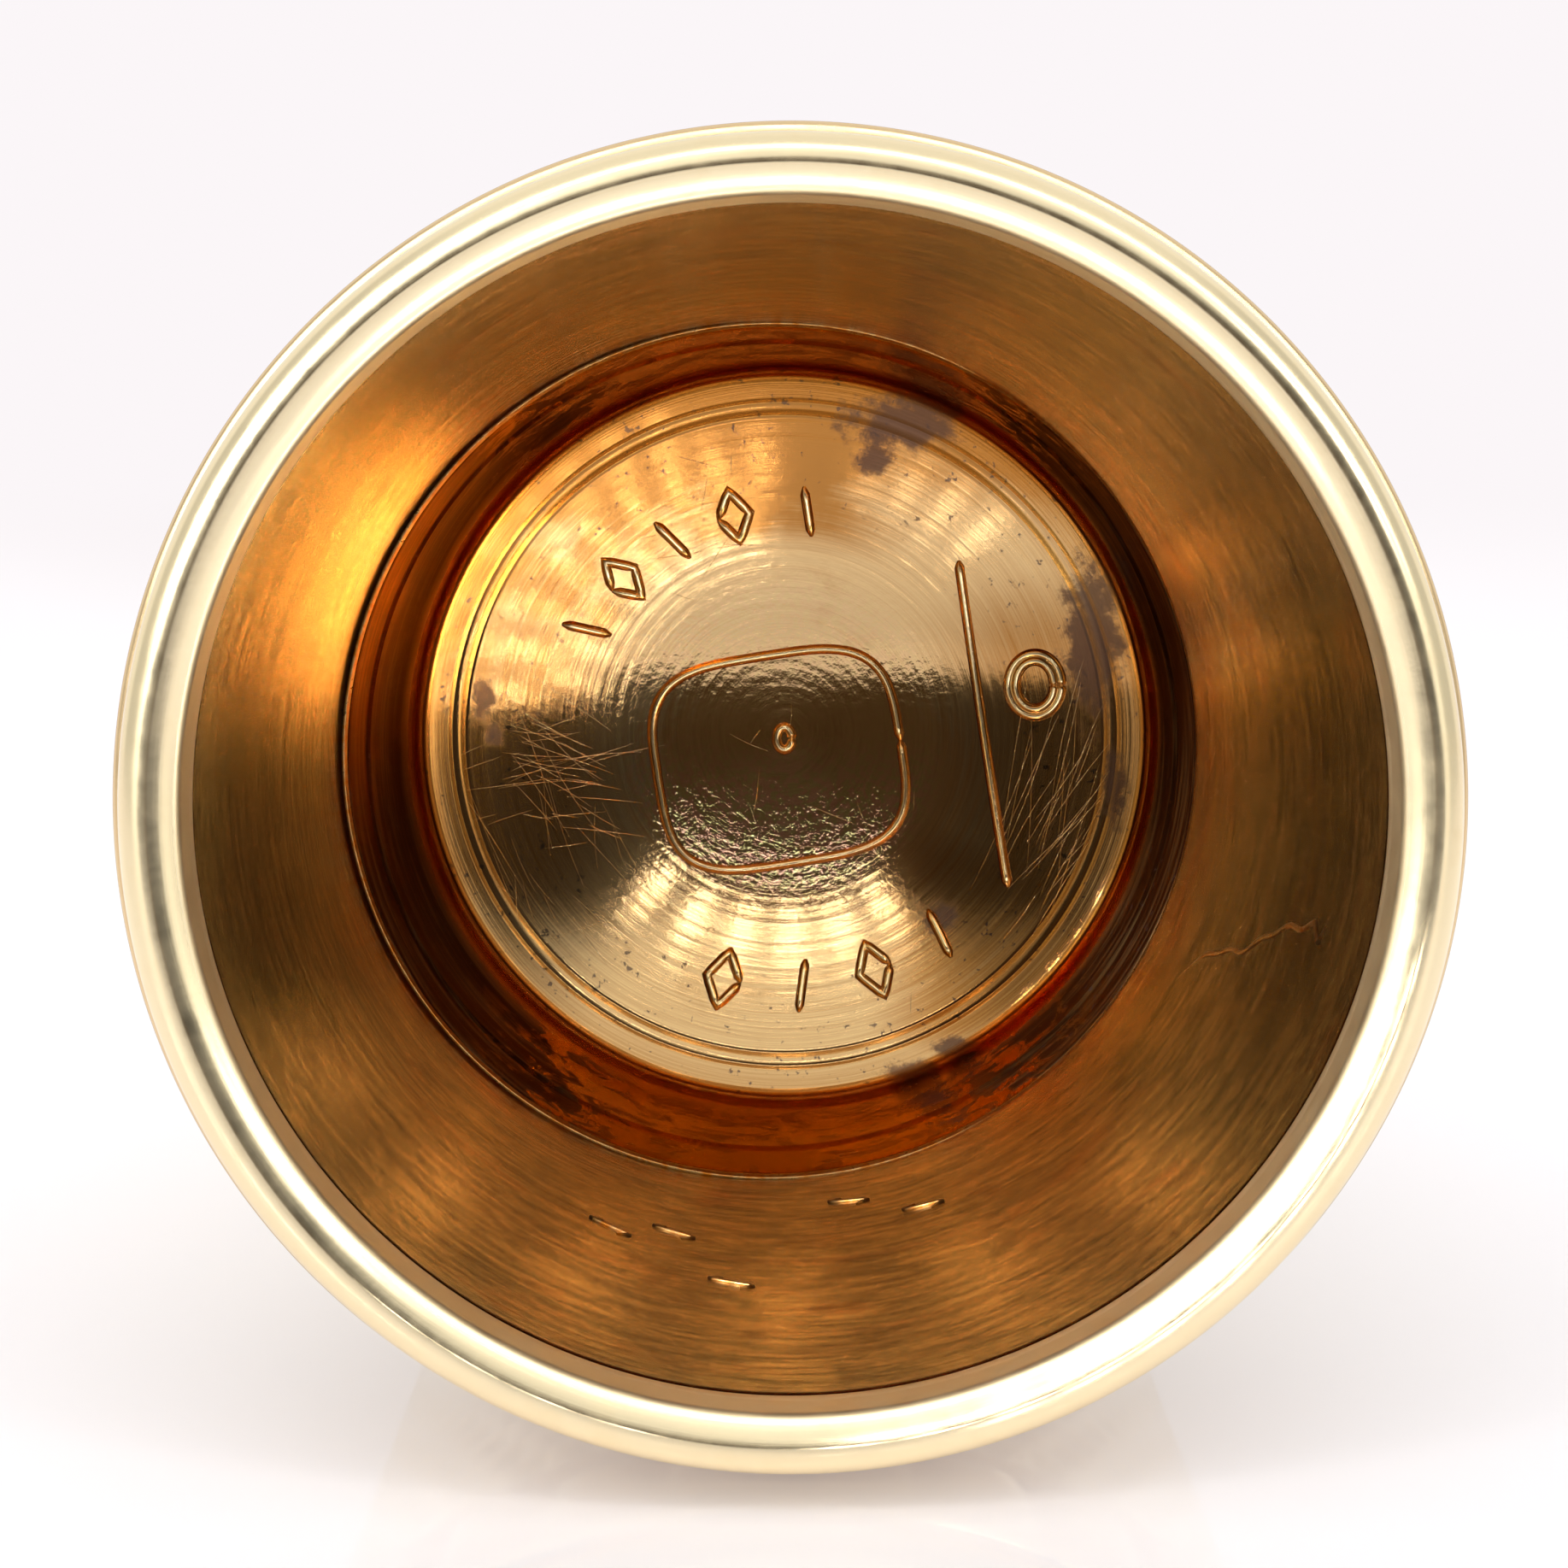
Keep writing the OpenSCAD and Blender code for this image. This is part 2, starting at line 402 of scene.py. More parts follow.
def crown_patina_and_shade(n):
    """How brown the dome's inside is: painted shade in bands left and right, the upper part with dirt and
    painted shade, and a patch lower right.
    """
    cloud = n.noise(n.place, 0.7, 4.0, 0.6, 0.4)
    # Painted shade: darker bands at the left and right of the dome.
    middle = n.product(n.band(n.z, -0.3, 2.0, 2.0), n.ramp(n.math("ABSOLUTE", n.x), 2.2, 4.6, 0.0, 0.8))
    # The upper part: partly dirt, partly painted shade, darker towards the top and the outer edge.
    upper = n.product(n.ramp(n.z, 0.3, 2.2), n.ramp(n.radius, 3.3, 4.1),
                      n.ramp(cloud, 0.35, 0.62, 0.45, 0.9), n.ramp(n.x, 0.6, 2.4, 1.0, 0.25))
    upper = n.total(upper, n.ramp(n.z, 3.6, 5.6, 0.0, 0.7), n.ramp(n.radius, 5.8, 6.6, 0.0, 0.4))
    lower = n.product(n.band(n.x, 4.2, 1.0, 2.2), n.band(n.z, -4.0, 1.4, 1.4), 0.85)
    warm = n.total(n.ramp(n.radius, 3.6, 5.6, 0.0, 0.10), n.ramp(cloud, 0.5, 0.75, 0.0, 0.3))
    warm = n.math("MAXIMUM", n.math("MAXIMUM", warm, middle), n.math("MAXIMUM", upper, lower))
    grain = n.ramp(n.turned(1.6, 22.0, 1.0, 4.0, 0.75), 0.36, 0.64, -0.16, 0.2, smooth=False)
    return n.ramp(n.total(warm, grain), 0.0, 1.0, smooth=False)


def skirt_scale_and_shade(n):
    """Where the torch has left scale on the skirt, in blotches, and painted shade at its left and right
    sides.
    """
    # Painted shade: more scale towards the left and right sides.
    sides = n.ramp(n.math("ABSOLUTE", n.x), 2.5, 6.0, 0.0, 1.0)
    blotch = n.ramp(n.noise(n.place, 0.9, 6.0, 0.75, 0.8), 0.42, 0.56, -0.3, 0.35)
    return n.ramp(n.total(sides, blotch), 0.0, 0.8)


def crown_gold():
    """Bright turned gold: a polished middle, fine rings, a dark brown skirt and tarnish spots, with painted
    shade at the sides and top and painted glints in the middle.
    """
    look = settings("finish")
    n = GoldNodes("crown_gold")
    rings = n.turned(0.8, 34.0, 1.0, 3.0, 0.6)
    coarse = n.turned(0.6, 7.0, 1.0, 2.0, 0.5)
    hammered = n.noise(n.place, 7.0, 2.0, 0.5)
    grit = n.noise(n.place, 13.0, 2.0, 0.6)
    seat_y = CROWN_SEAT / MM
    skirt = n.ramp(n.y, seat_y + 0.9, seat_y + 2.4, 1.0, 0.0)
    scale_and_shade = skirt_scale_and_shade(n)
    spot = tarnish_spots(n)
    grit_and_glints = n.product(n.ramp(n.radius, 2.6, 3.4, 1.0, 0.0), n.ramp(n.z, -1.4, 0.2, 1.0, 0.15))

    tone = n.mix(crown_patina_and_shade(n), rgba(look.crown), rgba(look.dull_and_shade))
    streak = n.ramp(n.turned(2.4, 5.0, 1.0, 4.0, 0.65), 0.46, 0.66, 1.0, 0.8)
    # The skirt: fire scale, and painted shade at its sides.
    tone = n.mix(n.product(skirt, streak), tone, n.mix(scale_and_shade, rgba(look.patina), rgba(look.scale)))
    speck = n.product(n.ramp(n.noise(n.place, 5.5, 3.0, 0.6), 0.63, 0.7, 0.0, 0.75),
                      n.ramp(n.radius, 3.6, 5.2))
    tone = n.mix(speck, tone, rgba(look.tarnish))
    tone = n.mix(n.product(spot, 0.8), tone, rgba(look.tarnish))
    # Painted glints: green and rose sparkles in the lower part of the polished middle.
    glint = n.mix(n.ramp(n.noise(n.place, 9.0, 2.0, 0.5), 0.42, 0.58), GLINT_GREEN, GLINT_ROSE)
    tone = n.mix(n.product(grit_and_glints, 0.35), tone, glint)

    roughness = n.total(n.ramp(rings, 0.25, 0.75, 0.05, 0.10, smooth=False),
                        n.product(spot, 0.16), n.ramp(n.radius, 2.2, 3.8, 0.0, 0.02),
                        n.product(skirt, scale_and_shade, 0.4))
    height = n.total(n.product(rings, 0.12), n.product(coarse, 0.35))
    height = n.product(height, n.ramp(n.radius, 2.2, 3.8, 0.5, 1.0))
    height = n.total(height, n.product(hammered, n.ramp(n.radius, 2.8, 3.8, 0.5, 0.12)),
                     n.product(grit, grit_and_glints, 0.75))
    return n.finish(tone, roughness, height, 0.24, 0.6, edge=(0.82, 0.54, 0.28, 1.0))


def rim_gold():
    """Pale polished gold with faint handling marks."""
    look = settings("finish")
    n = GoldNodes("rim_gold")
    wear = n.noise(n.place, 2.2, 4.0, 0.6)
    rings = n.turned(3.0, 18.0, 1.0, 3.0, 0.6)
    tone = n.mix(n.ramp(wear, 0.45, 0.75, 0.0, 0.35), rgba(look.rim), rgba(look.border))
    inner = n.ramp(n.radius, MOUTH_R / MM + 0.02, MOUTH_R / MM + 0.12, 0.2, 0.0)
    roughness = n.total(n.ramp(wear, 0.3, 0.7, 0.19, 0.26, smooth=False), inner)
    return n.finish(tone, roughness, n.total(wear, n.product(rings, 0.4)), 0.12)


def border_gold():
    """Polished on the high points, darker in the hollows."""
    look = settings("finish")
    n = GoldNodes("border_gold")
    wear = n.noise(n.place, 1.6, 4.0, 0.6)
    top = n.ramp(n.radius, BORDER_R / MM - 0.34, BORDER_R / MM - 0.1)
    dark = n.mix(0.55, rgba(look.border), rgba(look.patina))
    tone = n.mix(top, dark, n.mix(0.25, rgba(look.border), rgba(look.patina)))
    roughness = n.ramp(wear, 0.3, 0.7, 0.16, 0.28, smooth=False)
    return n.finish(tone, roughness, wear, 0.12)


def outside_gold():
    """Gold of the knurled outside: bright lands, and pits darkened as painted shade."""
    look = settings("finish")
    n = GoldNodes("outside_gold")
    wear = n.noise(n.place, 1.1, 4.0, 0.6)
    land = n.total(n.product(n.math("SUBTRACT", n.y, WALL_START / MM), SLOPE), n.radius)
    # Painted shade: the pits take the darker wall gold.
    pit_shade = n.product(n.ramp(land, WALL_R / MM - 0.1, WALL_R / MM - 0.01, 0.75, 0.0),
                    n.ramp(n.y, CROWN_SEAT / MM + 1.5, CROWN_SEAT / MM + 2.5, 1.0, 0.0))
    tone = n.mix(pit_shade, rgba(look.border), rgba(look.wall))
    tone = n.mix(n.ramp(wear, 0.55, 0.8, 0.0, 0.35), tone, rgba(look.patina))
    roughness = n.ramp(wear, 0.3, 0.7, 0.16, 0.27, smooth=False)
    return n.finish(tone, roughness, wear, 0.15)


def solder_gold():
    """Dull solder, darker than the gold on either side."""
    look = settings("finish")
    n = GoldNodes("solder")
    grain = n.noise(n.place, 5.0, 4.0, 0.65)
    tone = n.mix(n.ramp(grain, 0.35, 0.7, 0.35, 1.0), rgba(look.wall), rgba(look.patina))
    return n.finish(tone, n.ramp(grain, 0.3, 0.7, 0.25, 0.4, smooth=False), grain, 0.25)


def mark_gold():
    """Clean gold of struck marks and scratches."""
    look = settings("finish")
    n = GoldNodes("mark_gold")
    grain = n.noise(n.place, 3.0, 3.0, 0.6)
    tone = n.mix(n.ramp(grain, 0.4, 0.75, 0.0, 0.4), rgba(look.border), rgba(look.crown))
    return n.finish(tone, n.ramp(grain, 0.3, 0.7, 0.12, 0.2, smooth=False), grain, 0.1)


MATERIALS = {}


def material(maker):
    """The material that a maker function gives, made once."""
    if maker.__name__ not in MATERIALS:
        MATERIALS[maker.__name__] = maker()
    return MATERIALS[maker.__name__]


# ---------------------------------------------------------------- shapes

def arc(centre, radius, start, end, steps):
    """Points along an arc, angles in degrees from the radial direction towards the crown."""
    points = []
    for i in range(steps + 1):
        angle = math.radians(start + (end - start) * i / steps)
        points.append((centre[0] + radius * math.cos(angle), centre[1] + radius * math.sin(angle)))
    return points


def run(first, last, steps):
    """Points along a straight line, without the last."""
    return [(first[0] + (last[0] - first[0]) * i / steps, first[1] + (last[1] - first[1]) * i / steps)
            for i in range(steps)]


def ring_angles(segments):
    return [FULL_TURN * i / segments for i in range(segments)]


def turned(mesh, outline, segments, closed=True, place=None):
    """Adds an outline of (radius, y) turned round the axis to a bmesh; a radius of 0 is a pole."""
    rings = []
    for radius, y in outline:
        if radius == 0.0:
            ring = [mesh.verts.new(Vector((0.0, y, 0.0)))]
        else:
            ring = [mesh.verts.new(Vector((radius * math.cos(a), y, radius * math.sin(a))))
                    for a in ring_angles(segments)]
        if place:
            for vert in ring:
                vert.co = place(vert.co)
        rings.append(ring)
    pairs = list(zip(rings, rings[1:]))
    if closed:
        pairs.append((rings[-1], rings[0]))
    for low, high in pairs:
        for i in range(segments):
            j = (i + 1) % segments
            corners = [low[i % len(low)], low[j % len(low)], high[j % len(high)], high[i % len(high)]]
            face = [v for k, v in enumerate(corners) if v not in corners[:k]]
            mesh.faces.new(face).smooth = True


def finished(mesh, name, *makers, weld=True):
    """Turns a closed bmesh into an object with its normals outwards."""
    if weld:
        bmesh.ops.remove_doubles(mesh, verts=mesh.verts, dist=WELD)
    bmesh.ops.recalc_face_normals(mesh, faces=mesh.faces)
    data = bpy.data.meshes.new(name)
    mesh.to_mesh(data)
    mesh.free()
    for maker in makers:
        data.materials.append(material(maker))
    made = bpy.data.objects.new(name, data)
    bpy.context.scene.collection.objects.link(made)
    return made


def seated(piece, slot, *nodes):
    """Puts a piece on the thimble's one body, in place of its CAD nodes."""
    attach(piece, "root")
    if nodes:
        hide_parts(*nodes)


def smooth_step(value, low, high):
    t = min(max((value - low) / (high - low), 0.0), 1.0)
    return t * t * (3 - 2 * t)


def leaned(co):
    """Moves a point of the inside over to one side, most at the skirt's edge."""
    grown = smooth_step(co.y, WALL_START, SKIRT_START)
    faded = 1 - smooth_step(co.y, CROWN_SEAT, CROWN_TOP - 2 * MM)
    return co - Vector((settings("wall").lean * grown * faded, 0.0, 0.0))


def slanted(co):
    """Leans a point and slides it along the axis, so that the skirt's edge lies deeper on one side."""
    radius = math.hypot(co.x, co.z)
    amount = 1 - smooth_step(co.y, SKIRT_START + 2 * MM, CROWN_SEAT + 1.6 * MM)
    slid = settings("crown").slant * amount * (co.x / radius if radius else 0.0)
    return leaned(co) + Vector((0.0, slid, 0.0))


def wall_in(y):
    return wall_out(y) - settings("wall").sheet


# ---------------------------------------------------------------- geometry node trees

def node_group(name, sockets):
    """A geometry tree with named inputs; returns its Nodes and the group's input node."""
    tree = bpy.data.node_groups.new(name, "GeometryNodeTree")
    tree.interface.new_socket("Geometry", in_out="INPUT", socket_type="NodeSocketGeometry")
    for label, kind in sockets:
        tree.interface.new_socket(label, in_out="INPUT", socket_type="NodeSocket" + kind)
    tree.interface.new_socket("Geometry", in_out="OUTPUT", socket_type="NodeSocketGeometry")
    nodes = Nodes(tree)
    return nodes, nodes.add("NodeGroupInput").outputs


def node_end(nodes, geometry, given):
    """Ends a tree: instances realized, doubles merged, shaded smooth, material set."""
    real = nodes.add("GeometryNodeRealizeInstances", {0: geometry}).outputs[0]
    merged = nodes.add("GeometryNodeMergeByDistance", {"Geometry": real, "Distance": WELD}).outputs[0]
    smooth = nodes.add("GeometryNodeSetShadeSmooth", {"Geometry": merged}).outputs[0]
    last = nodes.add("GeometryNodeSetMaterial", {"Geometry": smooth, "Material": given["Material"]})
    nodes.add("NodeGroupOutput", {0: last.outputs[0]})
    return nodes.tree


def applied(made, tree, values):
    """Runs a geometry tree on an object and leaves it a plain mesh."""
    modifier = made.modifiers.new(tree.name, "NODES")
    modifier.node_group = tree
    for item in tree.interface.items_tree:
        if item.in_out == "INPUT" and item.name in values:
            modifier[item.identifier] = values[item.name]
    graph = bpy.context.evaluated_depsgraph_get()
    graph.update()
    data = bpy.data.meshes.new_from_object(made.evaluated_get(graph), depsgraph=graph)
    made.modifiers.remove(modifier)
    data.materials.clear()
    data.materials.append(values["Material"])
    data.polygons.foreach_set("material_index", [0] * len(data.polygons))
    old = made.data
    made.data = data
    data.name = made.name
    bpy.data.meshes.remove(old)
    return made


def knurl_tree():
    """Repeats a flat tile in staggered rows and wraps the rows on the wall's cone."""
    n, given = node_group("knurled_rows", [
        ("Around", "Int"), ("Rows", "Int"), ("Pitch", "Float"), ("Start", "Float"),
        ("Radius", "Float"), ("Slope", "Float"), ("Depth", "Float"), ("Material", "Material")])
    around, rows = given["Around"], given["Rows"]
    last_row = n.math("SUBTRACT", rows, 1.0)
    grid = n.add("GeometryNodeMeshGrid",
                 {"Size X": n.math("SUBTRACT", around, 1.0), "Size Y": last_row,
                  "Vertices X": around, "Vertices Y": rows}).outputs[0]
    where = n.separate(n.add("GeometryNodeInputPosition").outputs[0])
    row = n.math("ROUND", n.math("ADD", where[1], n.math("MULTIPLY", last_row, 0.5)))
    stagger = n.math("MULTIPLY", n.math("MODULO", row, 2.0), 0.5)
    shifted = n.add("GeometryNodeSetPosition",
                    {"Geometry": grid, "Offset": n.combine(stagger, 0.0, 0.0)}).outputs[0]
    tiles = n.add("GeometryNodeInstanceOnPoints",
                  {"Points": shifted, "Instance": given["Geometry"]}).outputs[0]
    real = n.add("GeometryNodeRealizeInstances", {0: tiles}).outputs[0]
    u, v, w = n.separate(n.add("GeometryNodeInputPosition").outputs[0])
    angle = n.math("DIVIDE", n.math("MULTIPLY", u, FULL_TURN), around)
    up = n.math("MULTIPLY", n.math("ADD", v, n.math("MULTIPLY", rows, 0.5)), given["Pitch"])
    radius = n.math("SUBTRACT", given["Radius"], n.math("MULTIPLY", up, given["Slope"]))
    radius = n.math("ADD", radius, n.math("MULTIPLY", w, given["Depth"]))
    wrapped = n.combine(n.math("MULTIPLY", radius, n.math("COSINE", angle)),
                        n.math("ADD", given["Start"], up),
                        n.math("MULTIPLY", radius, n.math("SINE", angle)))
    placed = n.add("GeometryNodeSetPosition", {"Geometry": real, "Position": wrapped}).outputs[0]
    return node_end(n, placed, given)


def pitted_tree():
    """Sinks a surface round every point of another object, as a rounded punch does."""
    n, given = node_group("punched_pits", [
        ("Centres", "Object"), ("Pit Radius", "Float"), ("Depth", "Float"), ("Material", "Material")])
    centres = n.add("GeometryNodeObjectInfo", {"Object": given["Centres"]}).outputs["Geometry"]
    near = n.add("GeometryNodeProximity", {0: centres}, target_element="POINTS").outputs["Distance"]
    share = n.math("MINIMUM", n.math("DIVIDE", near, given["Pit Radius"]), 1.0)
    bowl = n.math("SUBTRACT", 1.0, n.math("MULTIPLY", share, share))
    bowl = n.math("MULTIPLY", bowl, n.math("SUBTRACT", 2.0, bowl))
    sunk = n.scaled(n.add("GeometryNodeInputNormal").outputs[0],
                    n.math("MULTIPLY", n.math("MULTIPLY", bowl, given["Depth"]), -1.0))
    placed = n.add("GeometryNodeSetPosition", {"Geometry": given["Geometry"], "Offset": sunk}).outputs[0]
    return node_end(n, placed, given)


def round_tree():
    """Repeats one segment round the axis."""
    n, given = node_group("round_the_axis", [("Count", "Int"), ("Material", "Material")])
    points = n.add("GeometryNodeMeshLine", {"Count": given["Count"], "Offset": (0.0, 0.0, 0.0)}).outputs[0]
    step = n.math("DIVIDE", FULL_TURN, given["Count"])
    index = n.add("GeometryNodeInputIndex").outputs[0]
    turn = n.combine(0.0, n.math("MULTIPLY", index, step), 0.0)
    copies = n.add("GeometryNodeInstanceOnPoints",
                   {"Points": points, "Instance": given["Geometry"], "Rotation": turn}).outputs[0]
    return node_end(n, copies, given)


def ridge_tree():
    """Sweeps a round wire along the edges of a mesh, thinner where its radius attribute says."""
    n, given = node_group("raised_lines", [("Radius", "Float"), ("Material", "Material")])
    curve = n.add("GeometryNodeMeshToCurve", {0: given["Geometry"]}).outputs[0]
    share = n.add("GeometryNodeInputNamedAttribute", {"Name": "share"}, data_type="FLOAT").outputs[0]
    sized = n.add("GeometryNodeSetCurveRadius",
                  {"Curve": curve, "Radius": n.math("MULTIPLY", share, given["Radius"])}).outputs[0]
    profile = n.add("GeometryNodeCurvePrimitiveCircle", {"Resolution": 6, "Radius": 1.0}).outputs[0]
    swept = n.add("GeometryNodeCurveToMesh",
                  {"Curve": sized, "Profile Curve": profile, "Fill Caps": True})
    if "Scale" in swept.inputs:
        radius = n.add("GeometryNodeInputRadius").outputs[0]
        n.tree.links.new(radius, swept.inputs["Scale"])
    return node_end(n, swept.outputs[0], given)


# ---------------------------------------------------------------- pieces

def dimple_tile(name):
    """One cell of the knurling, a unit across, with a round dimple one unit deep."""
    mesh = bmesh.new()
    outer = [mesh.verts.new((x, y, 0.0)) for x, y in tile_edge()]
    rings = [outer]
    for radius, depth in ((0.42, -0.06), (0.26, -0.72)):
        ring = []
        for vert in outer:
            out = vert.co.normalized() * radius
            ring.append(mesh.verts.new((out.x, out.y, depth)))
        rings.append(ring)
    count = len(outer)
    for low, high in zip(rings, rings[1:]):
        for i in range(count):
            j = (i + 1) % count
            mesh.faces.new((low[i], low[j], high[j], high[i]))
    middle = mesh.verts.new((0.0, 0.0, -1.0))
    for i in range(count):
        mesh.faces.new((rings[-1][i], rings[-1][(i + 1) % count], middle))
    return finished(mesh, name, weld=False)


def tile_edge():
    """The 16 points round a unit square, a quarter apart, which match a tile half a unit over."""
    quarters = [-0.5, -0.25, 0.0, 0.25]
    edge = [(q, -0.5) for q in quarters] + [(0.5, q) for q in quarters]
    return edge + [(-x, -y) for x, y in edge]


def build_wall():
    size = settings("wall")
    around = size.dimples_around
    segments = 4 * around
    start = BORDER_END - 0.2 * MM
    rows = int((WALL_END - start) / size.dimple_pitch)
    pitch = (WALL_END - start) / rows
    made = applied(dimple_tile("side_wall"), knurl_tree(), {
        "Around": around, "Rows": rows, "Pitch": pitch, "Start": start,
        "Radius": wall_out(start), "Slope": SLOPE, "Depth": size.dimple_depth,
        "Material": material(outside_gold)})
    mesh = bmesh.new()
    mesh.from_mesh(made.data)
    bpy.data.objects.remove(made)
    plain = len(mesh.faces)
    bottom = (wall_in(WALL_START), WALL_START)
    top = (wall_in(WALL_END), WALL_END)
    turned(mesh, run((wall_out(start), start), (wall_out(WALL_START), WALL_START), 2)
           + [(wall_out(WALL_START), WALL_START)], segments, closed=False)
    turned(mesh, [(wall_out(WALL_START), WALL_START)] + run(bottom, top, 48)
           + [top, (wall_out(WALL_END), WALL_END)], segments, closed=False, place=inside_only)
    mesh.faces.ensure_lookup_table()
    for face in mesh.faces[plain:]:
        face.material_index = 1
    made = finished(mesh, "side_wall", outside_gold, wall_gold)
    seated(made, "wall_gold", "side_wall")


def inside_only(co):
    """Leans the wall's inside and leaves its outside alone."""
    middle = wall_out(co.y) - settings("wall").sheet / 2
    return leaned(co) if math.hypot(co.x, co.z) < middle else co


def inside_point(y, degrees, lift):
    """A point over the wall's leaning inside, degrees below +X."""
    angle = math.radians(degrees)
    radius = wall_in(y) - lift
    return leaned(Vector((radius * math.cos(angle), y, -radius * math.sin(angle))))


def line_object(name, lines):
    """A mesh of open lines; each line is a list of (point, share of the full radius)."""
    data = bpy.data.meshes.new(name)
    points, edges, shares = [], [], []
    for line in lines:
        first = len(points)
        points += [tuple(point) for point, _ in line]
        shares += [share for _, share in line]
        edges += [(first + i, first + i + 1) for i in range(len(line) - 1)]
    data.from_pydata(points, edges, [])
    attribute = data.attributes.new("share", "FLOAT", "POINT")
    attribute.data.foreach_set("value", shares)
    made = bpy.data.objects.new(name, data)
    bpy.context.scene.collection.objects.link(made)
    return made


# Small spills of solder on the wall: distance along the axis in millimetres, and degrees below +X
NICKS = ((7.8, 110.7), (11.0, 81.0), (8.6, 103.0), (9.6, 72.0), (6.2, 96.0))


def build_seam():
    """Solder line along the inside, wandering a little, raised in its middle stretch."""
    size = settings("wall")
    low, high = WALL_START + 0.2 * MM, SKIRT_START + 0.6 * MM
    raised_from, raised_to = WALL_START + 3.0 * MM, SKIRT_START - 2.4 * MM
    line = []
    steps = 60
    for i in range(steps + 1):
        y = low + (high - low) * i / steps
        share = smooth_step(y, raised_from - 0.4 * MM, raised_from) * (
            1 - smooth_step(y, raised_to - 1.5 * MM, raised_to + 0.8 * MM))
        hook = 1 - smooth_step(y, raised_from, raised_from + 0.5 * MM)
        wander = 0.5 * math.sin(y / MM * 1.9) + 0.3 * math.sin(y / MM * 4.3 + 1.0)
        degrees = 13.0 + 1.9 * (y - raised_from) / MM + wander + 3.0 * hook * share
        sunk = size.seam_width / 2 - size.seam_rise * share
        line.append((inside_point(y, degrees, -sunk - (1 - share) * 0.02 * MM), 1.0))
    lines = [line]
    for y, degrees in NICKS:
        nick = []
        for i in range(9):
            t = i / 8 - 0.5
            spot = inside_point((y + 0.5 * t) * MM, degrees + 5.0 * t + 1.6 * math.sin(t * 9.0), 0.01 * MM)
            nick.append((spot, 0.2 + 0.5 * math.cos(math.pi * t)))
        lines.append(nick)
    made = applied(line_object("wall_seam", lines), ridge_tree(),
                   {"Radius": size.seam_width / 2, "Material": material(solder_gold)})
    seated(made, "solder", "wall_seam")


def dome(centre, radius, peak, steps):
    """Dome and rounding in one line, from the peak to the side, with the dome's radius."""
    deep = peak - centre[1]
    big = (centre[0] ** 2 + deep ** 2 - radius ** 2) / (2 * (deep - radius))
    meet = math.degrees(math.asin(centre[0] / (big - radius)))
    top = arc((0.0, peak - big), big, 90, 90 - meet, steps)
    top[0] = (0.0, peak)
    return top + arc(centre, radius, 90 - meet, math.degrees(TAPER), steps // 3)[1:]


def crown_outside(steps):
    size = settings("crown")
    centre_y = CROWN_TOP - size.rise - size.shoulder
    centre = (wall_out(centre_y) - size.shoulder / math.cos(TAPER), centre_y)
    return dome(centre, size.shoulder, CROWN_TOP, steps)


def crown_inside():
    """The dome's inside, from its peak to the side: a shallow bowl and a rounded corner."""
    size = settings("crown")
    peak = CROWN_TOP - size.thickness
    reach = size.bowl - size.corner

    def corner_at(tilt):
        return (reach * math.sin(tilt), peak - size.bowl + reach * math.cos(tilt))

    low, high = 0.0, math.pi / 2
    for _ in range(40):
        tilt = (low + high) / 2
        corner = corner_at(tilt)
        room = wall_out(corner[1]) - size.side - size.corner / math.cos(TAPER) - corner[0]
        low, high = (tilt, high) if room > 0 else (low, tilt)
    tilt = math.degrees(tilt)
    line = arc((0.0, peak - size.bowl), size.bowl, 90, 90 - tilt, 64)
    line[0] = (0.0, peak)
    return line + arc(corner, size.corner, 90 - tilt, math.degrees(TAPER), 20)[1:]


def inside_height(radius):
    """Where the crown's inside lies along the axis, at a distance from the axis."""
    outline = INSIDE_LINE
    for (r0, y0), (r1, y1) in zip(outline, outline[1:]):
        if r0 <= radius <= r1:
            return y0 + (y1 - y0) * (radius - r0) / (r1 - r0)
    return outline[-1][1]


INSIDE_LINE = []


def pit_centres(outline, pitch):
    """Centres of staggered rings of pits along an outline of (radius, y)."""
    centres = []
    travelled, ring = 0.0, 0
    goal = pitch / 2
    points = outline[::-1]
    for (r0, y0), (r1, y1) in zip(points, points[1:]):
        step = math.hypot(r1 - r0, y1 - y0)
        while travelled + step >= goal:
            t = (goal - travelled) / step
            radius, y = r0 + (r1 - r0) * t, y0 + (y1 - y0) * t
            count = max(1, round(FULL_TURN * radius / (pitch * 1.02)))
            if radius < pitch * 0.45:
                radius, count = 0.0, 1
            for i in range(count):
                angle = FULL_TURN * (i + 0.5 * (ring % 2)) / count
                centres.append((radius * math.cos(angle), y, radius * math.sin(angle)))
            ring += 1
            goal += pitch
        travelled += step
    return centres


